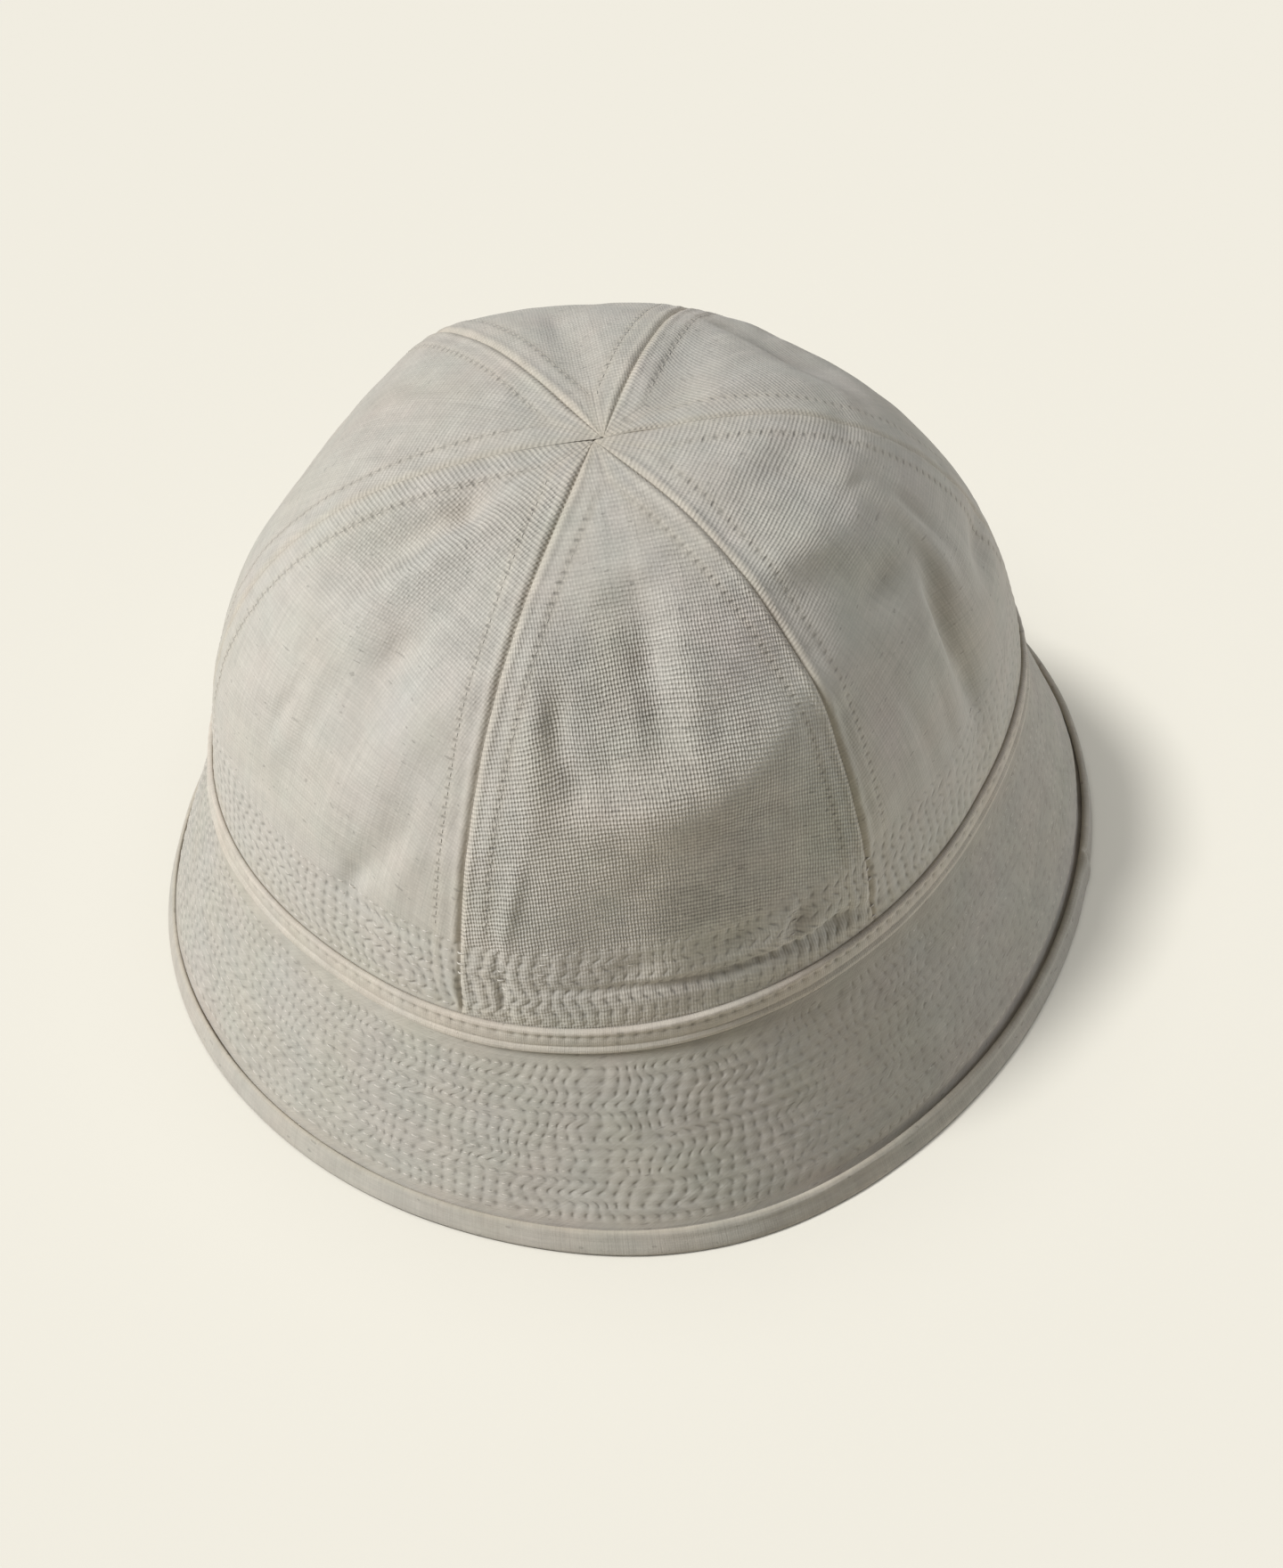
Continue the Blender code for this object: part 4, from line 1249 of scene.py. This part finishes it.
def make_brim(material):
    """The brim's quilted wall, from under the tape to inside the hem."""
    slants = np.linspace(BRIM_TOP, BRIM_SLANT * BRIM_END, BRIM_ROW_STEPS + 1)[::-1]
    azimuth, slant = np.meshgrid(np.arange(BRIM_STEPS) * 360.0 / BRIM_STEPS, slants)
    down = slant / BRIM_SLANT
    outer, _, stitching = brim_surface(azimuth, slant)
    inner = brim_face(azimuth, down, -BRIM_WALL) - PLAN_MIDDLE
    around = np.radians(azimuth) * (HEAD_OVAL.long + BRIM_FLARE * down)
    attributes = {"weave": stack_points(around, slant, 1.0), "stitching": stitching,
                  "finish": brim_finish(azimuth, slant)}
    piece = make_wall("quilted_brim", outer, inner[EACH_COARSE], attributes, closed=True)
    piece.data.materials.append(material)
    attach(piece, "root")
    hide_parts("brim")


quilted_canvas = canvas_material(
    "quilted_canvas", BRIM_COLOUR_AND_PAINTED_SHADE, BRIM_WEAVE, BRIM_QUILTING.spacing, BRIM_HOLE_PAINTED_SHADE)
make_brim(quilted_canvas)
ring_rows = quilting_rows(BRIM_QUILTING, lambda azimuth, slant: brim_surface(azimuth, slant)[:2])
make_stitches("stitches_brim", ring_rows, BRIM_THREAD, cotton_thread_painted_highlight)


# ------------------------------------------------------------------------------------------------
# The hem: a plain strip of canvas folded round the brim's edge, with a rolled upper edge. Its two
# ends meet in a small lump at the right, and the cap stands on its flat underside.
# ------------------------------------------------------------------------------------------------

HEM_STEPS = 960
# The hem's section: from the top of its outer fold down, under the edge, up inside and round its inner fold
HEM_SECTION = (
    Corner(0.00700, -0.00010), Corner(0.00738, 0.00030), Corner(0.00745, 0.00056),
    Corner(0.00728, 0.00076), Corner(0.00690, 0.00088), Corner(0.00630, 0.00094),
    Corner(0.00560, 0.00097), Corner(0.00480, 0.00099), Corner(0.00400, 0.00100),
    Corner(0.00310, 0.00098), Corner(0.00220, 0.00090), Corner(0.00135, 0.00074),
    Corner(0.00065, 0.00048), Corner(0.00018, 0.00012), Corner(0.0, -0.00050),
    Corner(0.0, -0.0022), Corner(0.00022, -0.00275), Corner(0.00060, -0.00312),
    Corner(0.00120, -0.0033), Corner(0.00300, -0.0033), Corner(0.00500, -0.0033),
    Corner(0.00700, -0.0033), Corner(0.00740, -0.0031), Corner(0.00740, -0.00250),
    Corner(0.00400, -0.00250), Corner(0.00080, -0.00250), Corner(0.00080, -0.00010),
    Corner(0.00400, -0.00010),
)
HEM_OUTSIDE = (0.0004, 0.0009)      # out from the brim to where the hem's outer face begins, and is whole
HEM_ROLL = 0.00075          # how far the rolled upper edge stands out
HEM_ROLL_UP = 0.0066
HEM_ROLL_WIDTH = 0.00085
HEM_FULLNESS = 0.62         # the share of the roll on the whole, with how much more at its fullest azimuth
HEM_FULLER = 0.50
HEM_FULLEST = 20.0
HEM_SWAY = Waver(61, 64, 0.006, 0.00010)
# Where the hem's ends meet: their lump and, a little further round, the nick between them
HemMark = namedtuple("HemMark", "azimuth width rise")
HEM_MARKS = (HemMark(-19.5, 1.3, 0.00050), HemMark(-17.9, 0.35, -0.0007))
HEM_WEAVE = Weave(0.00060, 0.00065, 0.00003, 0.05)
# Darker than the crown's canvas, though cut from the same cloth: painted shade.
HEM_COLOUR_AND_PAINTED_SHADE = (0.388, 0.360, 0.308)
HEM_CLEAR = 0.7
HEM_DRIFT = Waver(62, 60, 0.02, 1.0)
HEM_DRIFT_TINT = Tint(0.4, 0.3)
HEM_EDGE = 0.0075           # up to the fold's edge
HEM_EDGE_WIDTH = 0.0006
HEM_EDGE_TINT = Tint(1.0, 1.5)


def hem_points(azimuth, up, out):
    """Points on the hem, slightly uneven outside, with the marks of its ends."""
    fullness = HEM_FULLNESS + HEM_FULLER * np.cos(np.radians(azimuth - HEM_FULLEST))
    uneven = HEM_ROLL * fullness * bump_at(up, HEM_ROLL_UP, HEM_ROLL_WIDTH) + wavering(HEM_SWAY, azimuth, up)
    for mark in HEM_MARKS:
        uneven = uneven + mark.rise * bump_at(turned_apart(azimuth, mark.azimuth), 0.0, mark.width)
    lifted = out + ease(out, *HEM_OUTSIDE) * uneven
    spread = rim_radius(azimuth) - head_radius(azimuth)
    rise = lifted * spread / np.hypot(BRIM_HEIGHT, spread)
    down = 1.0 - (up - rise) / BRIM_HEIGHT
    return brim_face(azimuth, down, lifted) - PLAN_MIDDLE


hem_azimuth, hem_up, hem_out = section_grid(HEM_STEPS, HEM_SECTION)
hem_drift = wavering(HEM_DRIFT, hem_azimuth, hem_up)
hem_edge = bump_at(hem_up, HEM_EDGE, HEM_EDGE_WIDTH)
hem_pink = HEM_DRIFT_TINT.pink * hem_drift + HEM_EDGE_TINT.pink * hem_edge
hem_warm = HEM_DRIFT_TINT.warm * hem_drift + HEM_EDGE_TINT.warm * hem_edge
hem_attributes = {
    "weave": stack_points(np.radians(hem_azimuth) * RIM_OVAL.long, hem_up - hem_out, 1.0),
    "stitching": np.zeros((*hem_up.shape, 3)),
    "finish": stack_points(HEM_CLEAR, hem_pink, hem_warm),
}
binding_cloth = canvas_material("binding_cloth", HEM_COLOUR_AND_PAINTED_SHADE, HEM_WEAVE, BRIM_QUILTING.spacing)
make_ring("rolled_hem", hem_points(hem_azimuth, hem_up, hem_out), hem_attributes,
          binding_cloth, "brim_binding")


# ------------------------------------------------------------------------------------------------
# The studio: a plain pale floor and pale light all round. On the cap fall a broad light from the left, a
# weak cool one from the right and a faint one from above. On the floor fall one light from above and one
# from the left, which draws the short shadow.
# ------------------------------------------------------------------------------------------------

FLOOR_COLOUR = (0.43, 0.4125, 0.365)
FLOOR_HALF = 4.0
SKY_COLOUR = (1.05, 1.0, 0.93)
SKY_STRENGTH = 0.13
# A distant soft light: its colour, strength, width in degrees, and the azimuth and elevation it comes from
Lamp = namedtuple("Lamp", "name colour strength width azimuth elevation")
CAP_LAMPS = (
    Lamp("key_light", (0.975, 1.0, 1.04), 4.22, 20.0, 177.0, 46.0),
    Lamp("side_fill", (0.93, 1.0, 1.12), 1.45, 30.0, 8.0, 6.0),
    Lamp("top_fill", (1.0, 1.0, 0.98), 0.20, 60.0, 0.0, 90.0),
)
FLOOR_LAMPS = (
    Lamp("floor_top_light", (0.985, 1.0, 1.02), 2.84, 60.0, 0.0, 90.0),
    Lamp("floor_side_light", (1.0, 1.0, 1.0), 3.42, 10.0, 164.5, 68.5),
)


def make_floor():
    mesh = bpy.data.meshes.new("floor")
    corners = [(x * FLOOR_HALF, y * FLOOR_HALF, 0.0) for x, y in ((-1, -1), (1, -1), (1, 1), (-1, 1))]
    mesh.from_pydata(corners, [], [(0, 1, 2, 3)])
    floor = bpy.data.objects.new("floor", mesh)
    bpy.context.collection.objects.link(floor)
    paper = Shader("floor_paper")
    paper.settle({"Base Color": (*FLOOR_COLOUR, 1.0), "Roughness": 1.0, "Specular IOR Level": 0.0})
    mesh.materials.append(paper.material)
    floor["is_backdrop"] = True
    return floor


def make_lamp(lamp, lit):
    """A distant light that falls only on the objects of one collection."""
    azimuth = radians(lamp.azimuth)
    elevation = radians(lamp.elevation)
    towards = Vector((cos(azimuth) * cos(elevation), sin(azimuth) * cos(elevation), sin(elevation)))
    data = bpy.data.lights.new(lamp.name, "SUN")
    data.color = lamp.colour
    data.energy = lamp.strength
    data.angle = radians(lamp.width)
    light = bpy.data.objects.new(lamp.name, data)
    light.rotation_mode = "QUATERNION"
    light.rotation_quaternion = towards.to_track_quat("Z", "Y")
    bpy.context.collection.objects.link(light)
    light.light_linking.receiver_collection = lit


floor = make_floor()
floor_only = bpy.data.collections.new("floor_only")
floor_only.objects.link(floor)
cap_only = bpy.data.collections.new("cap_only")
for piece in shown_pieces():
    cap_only.objects.link(piece)
for lamp in CAP_LAMPS:
    make_lamp(lamp, cap_only)
for lamp in FLOOR_LAMPS:
    make_lamp(lamp, floor_only)

world = bpy.data.worlds.new("pale_room")
bpy.context.scene.world = world
world.use_nodes = True
background = world.node_tree.nodes["Background"]
background.inputs["Color"].default_value = (*SKY_COLOUR, 1.0)
background.inputs["Strength"].default_value = SKY_STRENGTH
bpy.context.scene.view_settings.view_transform = "Standard"


# ------------------------------------------------------------------------------------------------
# The camera: high in front of the cap, a little to its left and turned slightly, with a long lens.
# ------------------------------------------------------------------------------------------------

CAMERA_ELEVATION = 54.2
CAMERA_TURN = 4.36          # round to the cap's left, in degrees
CAMERA_ROLL = 9.70
CAMERA_DISTANCE = 1.0258
CAMERA_ASIDE = 0.00176      # how far it stands to the right of the line to the cap's foot
CAMERA_ABOVE = 0.01785      # and above it
LENS = 91.65
SENSOR = 36.0

turn = radians(CAMERA_TURN)
elevation = radians(CAMERA_ELEVATION)
roll = radians(CAMERA_ROLL)
back = Vector((-sin(turn) * cos(elevation), -cos(turn) * cos(elevation), sin(elevation)))
level_right = Vector((cos(turn), -sin(turn), 0.0))
level_up = Vector((sin(turn) * sin(elevation), cos(turn) * sin(elevation), cos(elevation)))
right = level_right * cos(roll) - level_up * sin(roll)
upward = level_right * sin(roll) + level_up * cos(roll)
camera_data = bpy.data.cameras.new("camera")
camera_data.sensor_fit = "AUTO"
camera_data.sensor_width = SENSOR
camera_data.lens = LENS
camera_data.clip_end = 20.0
camera = bpy.data.objects.new("camera", camera_data)
bpy.context.collection.objects.link(camera)
place = back * CAMERA_DISTANCE + right * CAMERA_ASIDE + upward * CAMERA_ABOVE - Vector(PLAN_MIDDLE)
camera.matrix_world = Matrix((
    (right.x, upward.x, back.x, place.x),
    (right.y, upward.y, back.y, place.y),
    (right.z, upward.z, back.z, place.z),
    (0.0, 0.0, 0.0, 1.0),
))
bpy.context.scene.camera = camera
